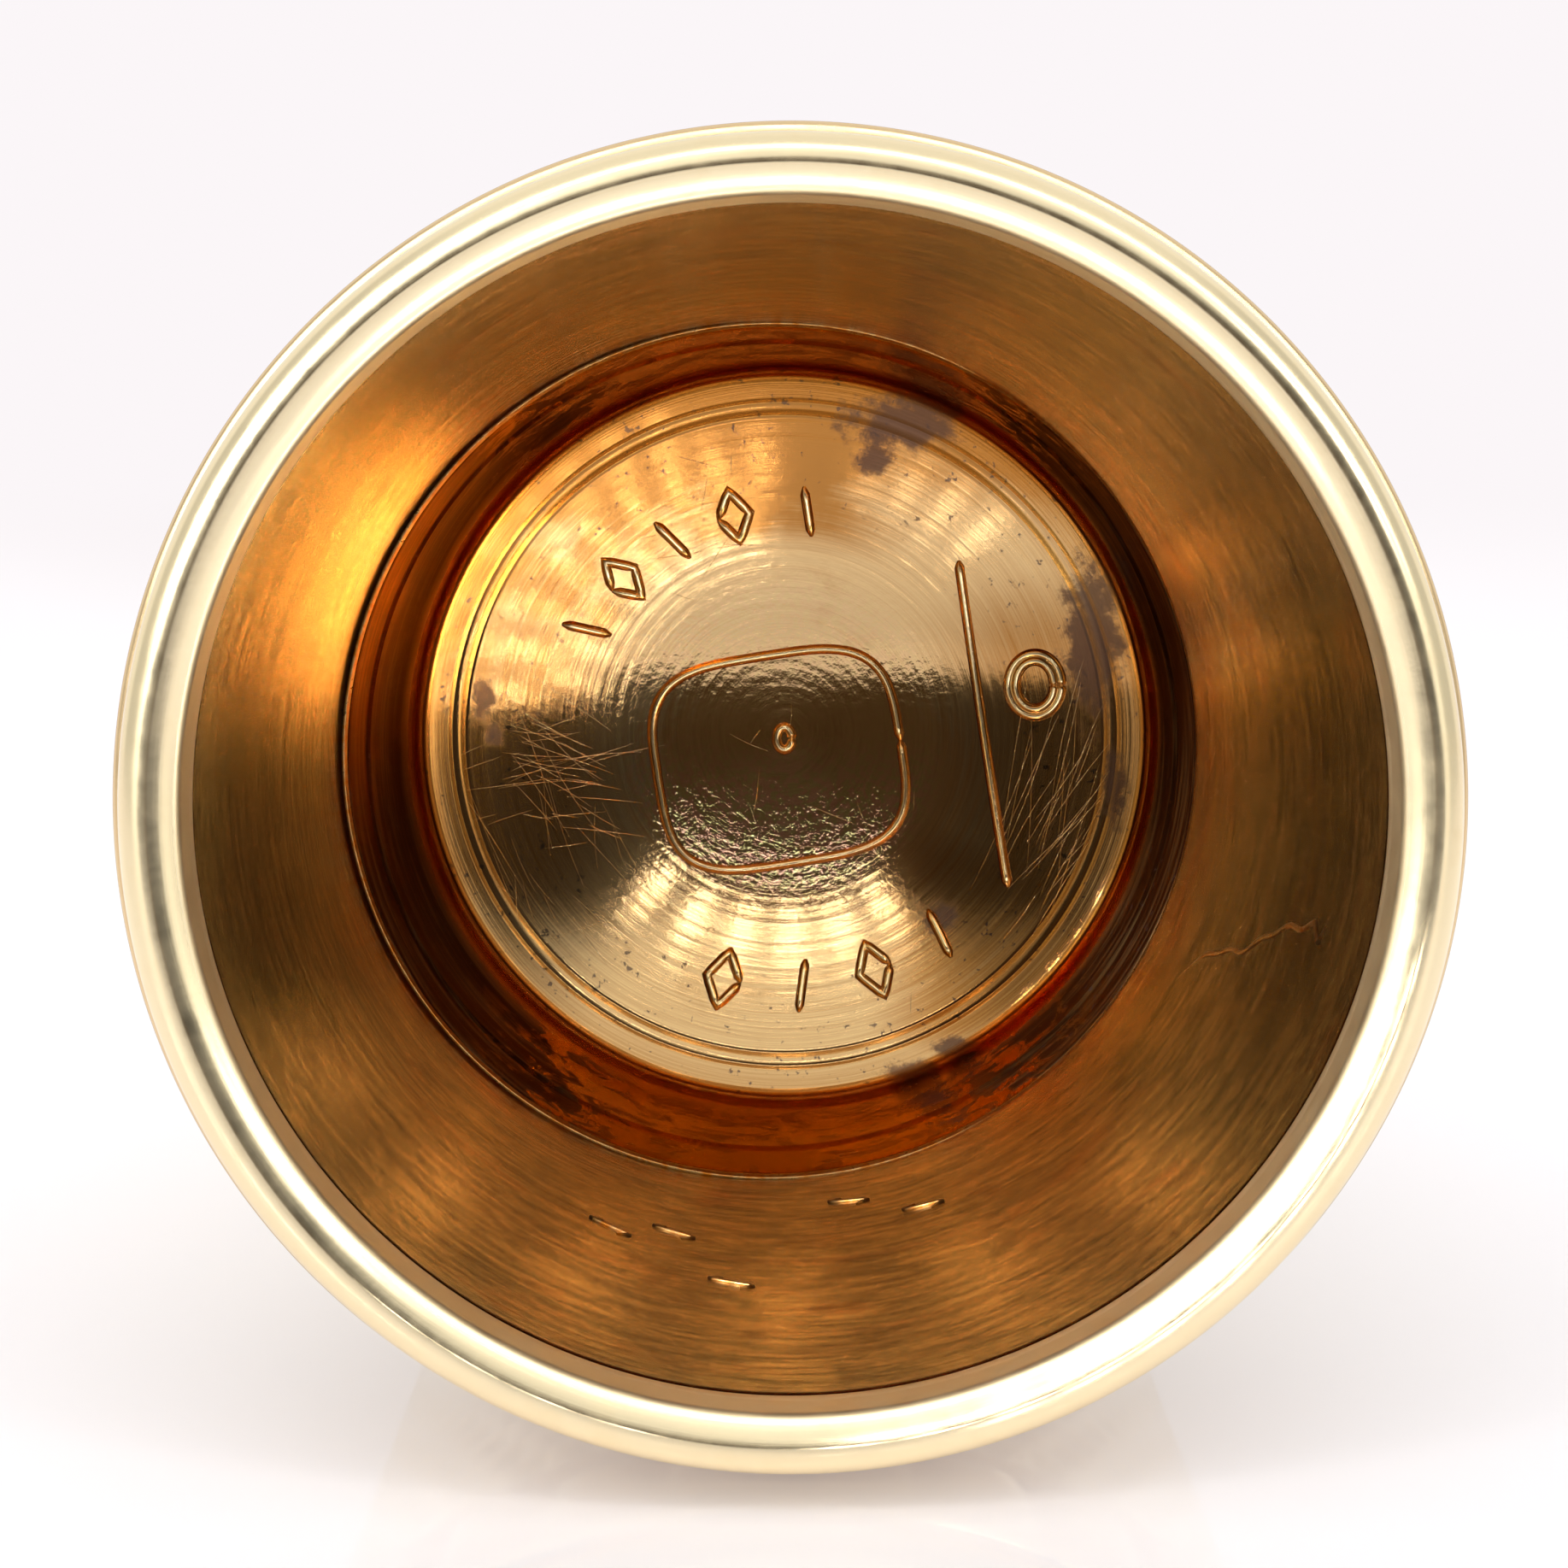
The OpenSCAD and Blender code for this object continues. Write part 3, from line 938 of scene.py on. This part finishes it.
def build_crown():
    size = settings("crown")
    pitch = settings("wall").dimple_pitch
    depth = settings("wall").dimple_depth
    outside = crown_outside(DOME_STEPS)
    outside += run((wall_out(CROWN_SEAT), CROWN_SEAT), outside[-1], 16)[::-1]
    skin = bmesh.new()
    turned(skin, outside, CROWN_SEGMENTS, closed=False)
    bmesh.ops.recalc_face_normals(skin, faces=skin.faces)
    if sum(f.normal.y for f in skin.faces) < 0:
        bmesh.ops.reverse_faces(skin, faces=skin.faces)
    data = bpy.data.meshes.new("crown_skin")
    skin.to_mesh(data)
    skin.free()
    outer = bpy.data.objects.new("crown_skin", data)
    bpy.context.scene.collection.objects.link(outer)
    points = bpy.data.meshes.new("pit_centres")
    points.from_pydata(pit_centres(outside, pitch), [], [])
    centres = bpy.data.objects.new("pit_centres", points)
    bpy.context.scene.collection.objects.link(centres)
    applied(outer, pitted_tree(), {"Centres": centres, "Pit Radius": pitch * 0.41, "Depth": depth,
                                   "Material": material(outside_gold)})
    mesh = bmesh.new()
    mesh.from_mesh(outer.data)
    bpy.data.objects.remove(outer)
    bpy.data.objects.remove(centres)
    plain = len(mesh.faces)
    INSIDE_LINE.extend(crown_inside())
    inside = scribed(INSIDE_LINE)
    turned(mesh, [(wall_out(CROWN_SEAT), CROWN_SEAT)] + skirt_line(inside[-1]) + inside[::-1],
           CROWN_SEGMENTS, closed=False, place=crown_place)
    mesh.faces.ensure_lookup_table()
    for face in mesh.faces[plain:]:
        face.material_index = 1
    made = finished(mesh, "crown_cap", outside_gold, crown_gold)
    seated(made, "crown_gold", "crown_cap")


def skirt_line(last):
    """The skirt from its seat, round its edge and over its crease, up to the end of the dome's inside."""
    size = settings("crown")
    edge = SKIRT_START
    crease = SKIRT_START + 1.7 * MM
    crease_step = 0.05 * MM
    edge_r = wall_in(edge) - FILM
    crease_r = wall_in(crease) - FILM - size.skirt
    line = [(wall_in(CROWN_SEAT) - FILM, CROWN_SEAT), (edge_r, edge), (edge_r - size.skirt * 0.7, edge)]
    line += run((edge_r - size.skirt, edge + 0.04 * MM), (crease_r, crease), 8)
    line += [(crease_r, crease), (crease_r - crease_step, crease + 0.06 * MM)]
    return line + run((crease_r - crease_step, crease + 0.14 * MM), last, 12)


def crown_place(co):
    """Slants the crown's skirt and leaves its seat on the wall alone."""
    seat = abs(co.y - CROWN_SEAT) < WELD and math.hypot(co.x, co.z) > wall_in(co.y) - FILM / 2
    return co if seat else slanted(co)


def scribed(outline):
    """Cuts the two scribed rings and the turning marks into the inside of the dome."""
    size = settings("crown")
    cut = []
    for ring in (size.outer_ring, size.inner_ring):
        for share, depth in ((-0.5, 0.0), (-0.15, 0.007), (0.15, 0.007), (0.5, 0.0)):
            radius = ring + share * size.scribe
            cut.append((radius, inside_height(radius) + depth * MM))
    kept = [p for p in outline if all(abs(p[0] - ring) > size.scribe * 0.6
                                      for ring in (size.outer_ring, size.inner_ring))]
    floor = [p for p in kept if p[0] <= size.outer_ring + size.scribe]
    rest = [p for p in kept if p[0] > size.outer_ring + size.scribe]
    floor = sorted(floor + cut)
    waved = []
    for i, (radius, y) in enumerate(floor):
        wave = 0.0015 * MM * math.sin(i * 2.4) if 0.3 * MM < radius < 5.8 * MM else 0.0
        waved.append((radius, y + wave))
    return waved + rest


def border_height(u, v):
    """Height over the border's inside for a place round one lobe (-1..1) and along it (0..1)."""
    size = settings("border")
    width = BORDER_END - BORDER_START
    along = v * width
    edge = min(along, width - along)
    ground = size.thickness - size.sink
    base = ground + size.sink * (1 - smooth_step(edge, size.edge * 0.8, size.edge * 1.05))
    rounded = size.thickness - 0.10 * MM * (1 - smooth_step(edge, 0.0, 0.14 * MM))
    base = min(base, rounded)
    across = (v - 0.5) / (0.5 - size.edge * 0.6 / width)
    reach = 1 - abs(across) ** 2.2
    if reach > 0:
        dip = 1 - abs(u) ** 2.0
        lobe = size.lobe_rise * max(dip, 0.0) ** 0.7 * reach ** 0.7
        vein = 0.05 * MM * max(0.0, 1 - abs(u) / 0.12) * reach
        base = max(base, ground + lobe - vein)
    return base


def build_border():
    """One lobe of the border, repeated round the axis."""
    size = settings("border")
    across, along = 14, 26
    mesh = bmesh.new()
    half = math.pi / size.lobes
    steps = [-1 + 2 * i / across for i in range(across + 1)]
    columns = []
    for u in steps:
        angle = half * u
        column = []
        for j in range(along + 1):
            v = j / along
            y = BORDER_START + (BORDER_END - BORDER_START) * v
            radius = wall_out(y) + FILM + border_height(u, v)
            column.append((min(radius, BORDER_R), y))
        column += [(wall_out(BORDER_END) + FILM, BORDER_END), (wall_out(BORDER_START) + FILM, BORDER_START)]
        columns.append([mesh.verts.new((r * math.cos(angle), y, r * math.sin(angle))) for r, y in column])
    for low, high in zip(columns, columns[1:]):
        for j in range(len(low)):
            k = (j + 1) % len(low)
            mesh.faces.new((low[j], low[k], high[k], high[j]))
    made = applied(finished(mesh, "border_band"), round_tree(),
                   {"Count": size.lobes, "Material": material(border_gold)})
    turn_by(made.data, half)
    outward(made.data)
    seated(made, "border_gold", "border_band")


def turn_by(data, angle):
    """Turns a mesh about the axis."""
    for vert in data.vertices:
        x, z = vert.co.x, vert.co.z
        vert.co.x = x * math.cos(angle) - z * math.sin(angle)
        vert.co.z = x * math.sin(angle) + z * math.cos(angle)


def outward(data):
    """Recalculates the normals of a closed mesh."""
    mesh = bmesh.new()
    mesh.from_mesh(data)
    bmesh.ops.remove_doubles(mesh, verts=mesh.verts, dist=WELD)
    bmesh.ops.recalc_face_normals(mesh, faces=mesh.faces)
    mesh.to_mesh(data)
    mesh.free()


def build_rim():
    size = settings("rim")
    outer = RIM_R - size.wear
    bead = (outer - MOUTH_R - size.flat) / 2
    corner = 0.2 * MM
    turn = 235
    last = 270 - size.ridge
    cos_turn, sin_turn = math.cos(math.radians(turn)), math.sin(math.radians(turn))
    cos_last, sin_last = math.cos(math.radians(last)), math.sin(math.radians(last))
    belly = (bead - corner * (1 + cos_turn)) / (cos_last - cos_turn)
    start_y = MOUTH_Y - corner * sin_turn + belly * (sin_turn - sin_last)
    front = arc((MOUTH_R + corner, start_y), corner, 180, turn, 10)
    bend_x, bend_y = front[-1]
    front += arc((bend_x - belly * cos_turn, bend_y - belly * sin_turn), belly, turn, last, 16)[1:]
    side = arc((outer - bead, MOUTH_Y + bead), bead, 270, 360, 24)
    back = arc((outer - size.back, RIM_BACK_Y - size.back), size.back, 0, 90, 8)
    outline = front + side + back + run((outer - size.back, RIM_BACK_Y), (MOUTH_R, RIM_BACK_Y), 3)[1:]
    outline += run((MOUTH_R, RIM_BACK_Y), front[0], 3)
    mesh = bmesh.new()
    turned(mesh, outline, RIM_SEGMENTS)
    seated(finished(mesh, "rim_bead", rim_gold), "rim_gold", "rim_bead")


def build_solder():
    """The three rings of solder at the rim, under the border and at the skirt's edge."""
    leg = 0.1 * MM
    rim = [(MOUTH_R, RIM_BACK_Y), (wall_out(WALL_START), RIM_BACK_Y),
           (wall_out(WALL_START), WALL_START), (wall_in(WALL_START), WALL_START),
           (MOUTH_R + 0.4 * FILM, WALL_START - 0.4 * FILM)]
    solder_ring("rim_solder", rim, RING_SEGMENTS)

    end = (wall_out(BORDER_END) + FILM, BORDER_END)
    border = [(wall_out(WALL_START), WALL_START), (wall_out(WALL_START) + FILM, WALL_START),
              end, (end[0] + leg, BORDER_END), (end[0] + leg * 0.35, BORDER_END + leg * 0.4),
              (wall_out(BORDER_END + leg), BORDER_END + leg)]
    solder_ring("border_solder", border, RING_SEGMENTS)

    size = settings("crown")
    lower = SKIRT_START - leg * 1.2
    skirt = [(wall_in(lower), lower), (wall_in(WALL_END), WALL_END),
             (wall_out(WALL_END), WALL_END), (wall_out(CROWN_SEAT), CROWN_SEAT),
             (wall_in(CROWN_SEAT) - FILM, CROWN_SEAT), (wall_in(SKIRT_START) - FILM, SKIRT_START),
             (wall_in(SKIRT_START) - FILM - size.skirt * 0.7, SKIRT_START)]
    solder_ring("crown_solder", skirt, CROWN_SEGMENTS, solder_place)


def solder_ring(name, outline, segments, place=None):
    """One ring of solder, turned from its outline, in place of the node of the same name."""
    mesh = bmesh.new()
    turned(mesh, outline, segments, place=place)
    seated(finished(mesh, name, solder_gold), "solder", name)


def solder_place(co):
    """Slants the solder's inside with the skirt and leaves its outside alone."""
    outer = math.hypot(co.x, co.z) > wall_out(co.y) - FILM
    return co if outer else slanted(co)


def on_dome(x, z, lift):
    """A point of the crown's inside under a place (x, z), lifted off it towards the mouth."""
    return Vector((x, inside_height(math.hypot(x, z)) - lift, z))


def dome_line(points, lift, ends=0.35):
    """A line on the dome through places in millimetres, fine enough to follow it, thin at its ends."""
    line = []
    for (x0, z0), (x1, z1) in zip(points, points[1:]):
        count = max(2, int(math.hypot(x1 - x0, z1 - z0) / 0.12))
        for i in range(count):
            t = i / count
            line.append(on_dome((x0 + (x1 - x0) * t) * MM, (z0 + (z1 - z0) * t) * MM, lift))
    line.append(on_dome(points[-1][0] * MM, points[-1][1] * MM, lift))
    last = len(line) - 1
    return [(point, 1.0 if 0 < i < last else ends) for i, point in enumerate(line)]


def polar(radius, degrees):
    angle = math.radians(degrees)
    return (radius * math.cos(angle), radius * math.sin(angle))


def oval(centre, half_x, half_z, tilt, start=0.0, stop=360.0, steps=48):
    """Points of a tilted oval, in millimetres."""
    points = []
    for i in range(steps + 1):
        x, z = polar(1.0, start + (stop - start) * i / steps)
        u, w = x * half_x, z * half_z
        c, s = math.cos(math.radians(tilt)), math.sin(math.radians(tilt))
        points.append((centre[0] + u * c - w * s, centre[1] + u * s + w * c))
    return points


def cushion(centre, half_x, half_z, tilt, steps=72):
    """Points of a tilted outline between an oval and a rectangle, in millimetres."""
    squareness = 0.55
    points = []
    for x, z in oval((0.0, 0.0), 1.0, 1.0, 0.0, steps=steps):
        u = half_x * math.copysign(abs(x) ** squareness, x)
        w = half_z * math.copysign(abs(z) ** squareness, z)
        c, s = math.cos(math.radians(tilt)), math.sin(math.radians(tilt))
        points.append((centre[0] + u * c - w * s, centre[1] + u * s + w * c))
    return points


def stroke(radius, degrees, size, turn):
    """A short straight stroke on an arc round the dome's middle."""
    x, z = polar(radius, degrees)
    dx, dz = polar(size / 2, degrees + turn)
    return [(x - dx, z - dz), (x + dx, z + dz)]


def lozenge(radius, degrees, size):
    """A small upright lozenge on an arc round the dome's middle."""
    x, z = polar(radius, degrees)
    corners = [polar(size / 2 * (1.0 if i % 2 else 0.62), degrees + 90 * i + 90) for i in range(5)]
    return [(x + dx, z + dz) for dx, dz in corners]


def struck_lines():
    """Plain workshop marks: a cushion outline, a bar, a ring punch, and strokes and lozenges in arcs."""
    lines = [dome_line(cushion((-0.1, -0.5), 2.35, 2.0, 9.0), 0.0),
             dome_line([(3.3, 3.3), (4.25, -2.9)], 0.0),
             dome_line(oval((4.75, 0.95), 0.5, 0.6, 0.0), 0.0),
             dome_line(oval((4.75, 0.95), 0.36, 0.46, 0.0), 0.02 * MM),
             dome_line(oval((0.0, -0.1), 0.15, 0.22, 0.0, steps=16), 0.0)]
    for i, degrees in enumerate((152, 136, 120, 103, 84)):
        shape = lozenge(4.25, degrees, 1.0) if i % 2 else stroke(4.25, degrees, 0.95, 15)
        lines.append(dome_line(shape, 0.0))
    for i, degrees in enumerate((-104, -86, -69, -52)):
        shape = stroke(4.8, degrees, 1.0, -12) if i % 2 else lozenge(4.8, degrees, 1.05)
        lines.append(dome_line(shape, 0.0))
    return lines


def build_marks():
    made = applied(line_object("struck_marks", struck_lines()), ridge_tree(),
                   {"Radius": MARK_R, "Material": material(mark_gold)})
    seated(made, "crown_gold")


# Groups of hair scratches: count, middle, spread, direction and its swing in degrees, and the
# longest; lengths in millimetres
SCRATCHES = (
    (44, (-3.9, -0.9), (1.6, 1.9), 172, 30, 1.9),
    (34, (4.8, -2.6), (1.1, 1.9), 66, 20, 3.6),
    (26, (-4.2, -3.0), (1.5, 1.6), 120, 24, 2.6),
    (12, (0.5, -1.5), (3.4, 3.2), 100, 90, 1.0),
    (10, (-1.5, 3.2), (2.4, 1.6), 30, 60, 1.2),
)


def build_scratches():
    """Hair scratches on the dome, in groups, as fine raised burrs."""
    draw = random.Random(7)
    lines = []
    for count, middle, spread, direction, swing, longest in SCRATCHES:
        for _ in range(count):
            x, z = (m + draw.gauss(0.0, 0.5) * s for m, s in zip(middle, spread))
            angle = direction + draw.uniform(-swing, swing)
            bend = draw.uniform(-14, 14)
            step = draw.uniform(0.25, 1.0) * longest / 8
            points = []
            for i in range(9):
                if math.hypot(x, z) < 6.2:
                    points.append((x, z))
                dx, dz = polar(step, angle + bend * i / 8)
                x, z = x + dx, z + dz
            if len(points) > 2:
                lines.append(hair_line(points))
    made = applied(line_object("fine_scratches", lines), ridge_tree(),
                   {"Radius": SCRATCH_R, "Material": material(mark_gold)})
    seated(made, "crown_gold")


def hair_line(points):
    """A scratch through places in millimetres, swelling in its middle."""
    last = len(points) - 1
    return [(on_dome(x * MM, z * MM, 0.0), 0.3 + 0.7 * math.sin(math.pi * i / last))
            for i, (x, z) in enumerate(points)]


# ---------------------------------------------------------------- stage

def floor_line():
    """Where the floor touches the border's lobes, and its slope up to the crown's shoulder."""
    size = settings("crown")
    touch = Vector(((BORDER_START + BORDER_END) / 2, -BORDER_R))
    centre_y = CROWN_TOP - size.rise - size.shoulder
    centre_z = -(wall_out(centre_y) - size.shoulder / math.cos(TAPER))
    away = Vector((centre_y, centre_z)) - touch
    angle = math.atan2(away.y, away.x) - math.asin(size.shoulder / away.length)
    return touch, angle


def build_floor():
    touch, angle = floor_line()
    half = settings("stage").floor
    mesh = bmesh.new()
    steps = 24
    rows = []
    for j in range(steps + 1):
        run_y = -half * 0.55 + 2 * half * j / steps
        y = touch.x + run_y * math.cos(angle)
        z = touch.y + run_y * math.sin(angle)
        rows.append([mesh.verts.new((-half + 2 * half * i / steps, y, z)) for i in range(steps + 1)])
    for low, high in zip(rows, rows[1:]):
        for i in range(steps):
            mesh.faces.new((low[i], low[i + 1], high[i + 1], high[i]))
    made = finished(mesh, "floor", floor_white, weld=False)
    for face in made.data.polygons:
        if face.normal.z < 0:
            face.flip()


def floor_white():
    """Glossy white acrylic that runs out into the pale backdrop."""
    made = bpy.data.materials.new("floor_white")
    made.use_nodes = True
    n = Nodes(made.node_tree)
    shine = n.add("ShaderNodeBsdfPrincipled",
                  {"Base Color": (0.765, 0.755, 0.80, 1.0), "Roughness": 0.03, "IOR": 1.35,
                   "Emission Color": (0.9, 0.88, 0.90, 1.0), "Emission Strength": 0.25}).outputs[0]
    place = n.add("ShaderNodeTexCoord").outputs["Object"]
    far = n.ramp(n.vector("LENGTH", place), 30 * MM, 130 * MM)
    glow = n.add("ShaderNodeEmission", {"Color": rgba(BACKDROP), "Strength": 1.0}).outputs[0]
    both = n.add("ShaderNodeMixShader", {0: far, 1: shine, 2: glow}).outputs[0]
    n.add("ShaderNodeOutputMaterial", {"Surface": both})
    return made


# The pale colour of the backdrop
BACKDROP = (0.965, 0.922, 0.939)


def build_world():
    """Pale studio: bright above and behind, a dark brown patch in front, and a dotted strip of light."""
    world = bpy.data.worlds.new("studio")
    bpy.context.scene.world = world
    world.use_nodes = True
    n = Nodes(world.node_tree)
    way = n.vector("NORMALIZE", n.add("ShaderNodeTexCoord").outputs["Generated"])
    x, y, z = n.separate(way)
    degrees = 180 / math.pi
    off = n.math("MULTIPLY", n.math("ARCCOSINE", n.math("MULTIPLY", y, -1.0)), degrees)
    turn = n.math("MULTIPLY", n.math("ARCTAN2", z, x), degrees)
    from_top = n.math("ABSOLUTE", n.math("SUBTRACT", turn, 86.0))
    overhead = n.product(n.ramp(z, 0.20, 0.34, 0.0, 0.9), n.ramp(from_top, 30.0, 54.0, 1.0, 0.35))
    side = n.product(n.ramp(off, 33.0, 40.0, 0.05, 1.15), n.ramp(off, 50.0, 62.0, 1.0, 0.55))
    behind = n.ramp(off, 85.0, 110.0, 0.0, 0.95)
    light = n.math("MAXIMUM", n.math("MAXIMUM", overhead, side), behind)
    across = n.math("DIVIDE", n.math("ADD", x, 0.03), 0.30)
    up = n.math("DIVIDE", n.math("SUBTRACT", z, 0.03), 0.25)
    lens = n.vector("LENGTH", n.combine(across, up, 0.0))
    shut = n.ramp(lens, 0.85, 1.1, 1.0, 0.0)
    light = n.product(light, n.math("SUBTRACT", 1.0, n.product(shut, 0.9)))
    strip = n.product(n.band(off, 58.0, 4.0, 2.0), n.band(turn, 92.0, 72.0, 4.0))
    dots = n.ramp(n.math("COSINE", n.product(turn, FULL_TURN / 6.0)), -0.1, 0.6)
    light = n.total(light, n.product(shut, 0.05), n.product(strip, dots, 7.0))
    tint = n.mix(n.ramp(z, -0.2, 0.5), (0.98, 0.96, 0.92, 1.0), (1.0, 0.99, 0.98, 1.0))
    tint = n.mix(shut, tint, (1.0, 0.66, 0.36, 1.0))
    studio = n.add("ShaderNodeBackground", {"Color": tint, "Strength": light}).outputs[0]
    seen = n.add("ShaderNodeBackground", {"Color": rgba(BACKDROP), "Strength": 1.0}).outputs[0]
    ray = n.add("ShaderNodeLightPath").outputs["Is Camera Ray"]
    both = n.add("ShaderNodeMixShader", {0: ray, 1: studio, 2: seen}).outputs[0]
    n.add("ShaderNodeOutputWorld", {"Surface": both})


# Rows of large lamps that light up patches of the wall: degrees off the axis, and degrees round it
FAR_ROWS = (
    {"off": 40.5, "first": 136, "last": 157, "count": 4, "size": 13.0, "glow": 270.0},
    {"off": 41.0, "first": 24, "last": 36, "count": 2, "size": 12.0, "glow": 24.0},
)

# Rows of small lamps, by where they are mirrored in the dome: radius in millimetres, and degrees round it
LAMP_ROWS = (
    {"radius": 4.15, "first": 100, "last": 166, "count": 8, "size": 0.17, "glow": 30.0},
    {"radius": 5.15, "first": 95, "last": 171, "count": 9, "size": 0.20, "glow": 30.0},
    {"radius": 6.05, "first": 112, "last": 173, "count": 8, "size": 0.24, "glow": 14.0},
    {"radius": 3.75, "first": -130, "last": -60, "count": 6, "size": 0.22, "glow": 26.0},
    {"radius": 5.3, "first": 46, "last": 72, "count": 4, "size": 0.22, "glow": 10.0},
)


def lamp_place(radius, degrees, plane):
    """Where the camera's ray goes after the dome mirrors it, as it crosses a plane across the axis."""
    x, z = polar(radius, degrees)
    spot = Vector((x, inside_height(radius), z))
    step = 0.05 * MM
    slope = (inside_height(radius + step) - inside_height(radius - step)) / (2 * step)
    normal = Vector((slope * x / radius, -1.0, slope * z / radius)).normalized()
    ray = (spot - bpy.context.scene.camera.location).normalized()
    away = ray.reflect(normal)
    return spot + away * ((plane - spot.y) / away.y)


def far_place(off, degrees):
    """A place well in front of the mouth, off the axis and round it by degrees."""
    x, z = polar(math.sin(math.radians(off)), degrees)
    return Vector((x, -math.cos(math.radians(off)), z)) * FAR_LAMPS


# Distances from the mouth to the small lamps, and from the origin to the large ones
NEAR_LAMPS = 4.0 * MM
FAR_LAMPS = 400 * MM


def build_lamps():
    """Rows of lamps in front of the mouth, which only show as highlights in the metal."""
    plane = MOUTH_Y - NEAR_LAMPS
    for number, row in enumerate(LAMP_ROWS + FAR_ROWS):
        for i in range(row["count"]):
            degrees = row["first"] + (row["last"] - row["first"]) * i / (row["count"] - 1)
            data = bpy.data.lights.new(f"lamp_{number}_{i}", "POINT")
            data.shadow_soft_size = row["size"] * MM
            data.energy = row["glow"] * 4 * math.pi ** 2 * data.shadow_soft_size ** 2
            made = bpy.data.objects.new(data.name, data)
            if "off" in row:
                made.location = far_place(row["off"], degrees)
            else:
                made.location = lamp_place(row["radius"] * MM, degrees, plane)
            made.visible_camera = False
            made.visible_diffuse = False
            bpy.context.scene.collection.objects.link(made)


def build_camera():
    size = settings("stage")
    data = bpy.data.cameras.new("camera")
    data.lens = size.lens
    data.sensor_width = 36.0
    data.clip_start = 0.002
    data.clip_end = 20.0
    made = bpy.data.objects.new("camera", data)
    made.location = (-0.335 * MM, -size.distance, size.height)
    aim = Vector((-0.1 * MM, 0.0, 0.33 * MM)) - made.location
    made.rotation_euler = aim.to_track_quat("-Z", "Y").to_euler()
    bpy.context.scene.collection.objects.link(made)
    bpy.context.scene.camera = made


def build_stage():
    build_floor()
    build_world()
    build_camera()
    scene = bpy.context.scene
    scene.view_settings.view_transform = "Standard"
    scene.cycles.use_denoising = True
    scene.cycles.max_bounces = 14
    scene.cycles.glossy_bounces = 10
    scene.cycles.caustics_reflective = True
    scene.cycles.sample_clamp_indirect = 12.0


# ---------------------------------------------------------------- operators

class THIMBLE_OT_stage(bpy.types.Operator):
    """Makes the floor, the studio light and the camera"""
    bl_idname = "thimble.stage"
    bl_label = "Stage"

    def execute(self, context):
        build_stage()
        return {"FINISHED"}


class THIMBLE_OT_lamps(bpy.types.Operator):
    """Makes the rows of small lamps that the dome mirrors"""
    bl_idname = "thimble.lamps"
    bl_label = "Lamps"

    def execute(self, context):
        build_lamps()
        return {"FINISHED"}


class THIMBLE_OT_wall(bpy.types.Operator):
    """Makes the knurled side wall"""
    bl_idname = "thimble.wall"
    bl_label = "Side wall"

    def execute(self, context):
        build_wall()
        return {"FINISHED"}


class THIMBLE_OT_seam(bpy.types.Operator):
    """Makes the solder line along the wall"""
    bl_idname = "thimble.seam"
    bl_label = "Wall seam"

    def execute(self, context):
        build_seam()
        return {"FINISHED"}


class THIMBLE_OT_crown(bpy.types.Operator):
    """Makes the domed crown with its pits and scribed rings"""
    bl_idname = "thimble.crown"
    bl_label = "Crown"

    def execute(self, context):
        build_crown()
        return {"FINISHED"}


class THIMBLE_OT_marks(bpy.types.Operator):
    """Makes the plain workshop marks inside the crown"""
    bl_idname = "thimble.marks"
    bl_label = "Workshop marks"

    def execute(self, context):
        build_marks()
        return {"FINISHED"}


class THIMBLE_OT_scratches(bpy.types.Operator):
    """Makes the hair scratches inside the crown"""
    bl_idname = "thimble.scratches"
    bl_label = "Hair scratches"

    def execute(self, context):
        build_scratches()
        return {"FINISHED"}


class THIMBLE_OT_border(bpy.types.Operator):
    """Makes the lobed border"""
    bl_idname = "thimble.border"
    bl_label = "Border"

    def execute(self, context):
        build_border()
        return {"FINISHED"}


class THIMBLE_OT_rim(bpy.types.Operator):
    """Makes the polished rim bead"""
    bl_idname = "thimble.rim"
    bl_label = "Rim bead"

    def execute(self, context):
        build_rim()
        return {"FINISHED"}


class THIMBLE_OT_solder(bpy.types.Operator):
    """Makes the rings of solder"""
    bl_idname = "thimble.solder"
    bl_label = "Solder rings"

    def execute(self, context):
        build_solder()
        return {"FINISHED"}


OPERATORS = (THIMBLE_OT_stage, THIMBLE_OT_wall, THIMBLE_OT_seam, THIMBLE_OT_crown, THIMBLE_OT_marks,
             THIMBLE_OT_scratches, THIMBLE_OT_border, THIMBLE_OT_rim, THIMBLE_OT_solder, THIMBLE_OT_lamps)


class THIMBLE_PT_panel(bpy.types.Panel):
    """Lists the thimble's pieces and their settings"""
    bl_label = "Thimble"
    bl_idname = "THIMBLE_PT_panel"
    bl_space_type = "VIEW_3D"
    bl_region_type = "UI"
    bl_category = "Thimble"

    def draw(self, context):
        column = self.layout.column()
        for operator in OPERATORS:
            column.operator(operator.bl_idname)
        for group in SETTINGS:
            box = self.layout.box()
            box.label(text=group.capitalize())
            values = settings(group)
            for name in values.__annotations__:
                box.prop(values, name)


CLASSES = (*SETTINGS.values(), *OPERATORS, THIMBLE_PT_panel)


def register():
    for made in CLASSES:
        bpy.utils.register_class(made)
    for group, kind in SETTINGS.items():
        setattr(bpy.types.Scene, "thimble_" + group, PointerProperty(type=kind))


def unregister():
    for group in SETTINGS:
        delattr(bpy.types.Scene, "thimble_" + group)
    for made in reversed(CLASSES):
        bpy.utils.unregister_class(made)


def main():
    register()
    bpy.ops.thimble.stage()
    bpy.ops.thimble.wall()
    bpy.ops.thimble.seam()
    bpy.ops.thimble.crown()
    bpy.ops.thimble.marks()
    bpy.ops.thimble.scratches()
    bpy.ops.thimble.border()
    bpy.ops.thimble.rim()
    bpy.ops.thimble.solder()
    bpy.ops.thimble.lamps()


if __name__ == "__main__":
    main()
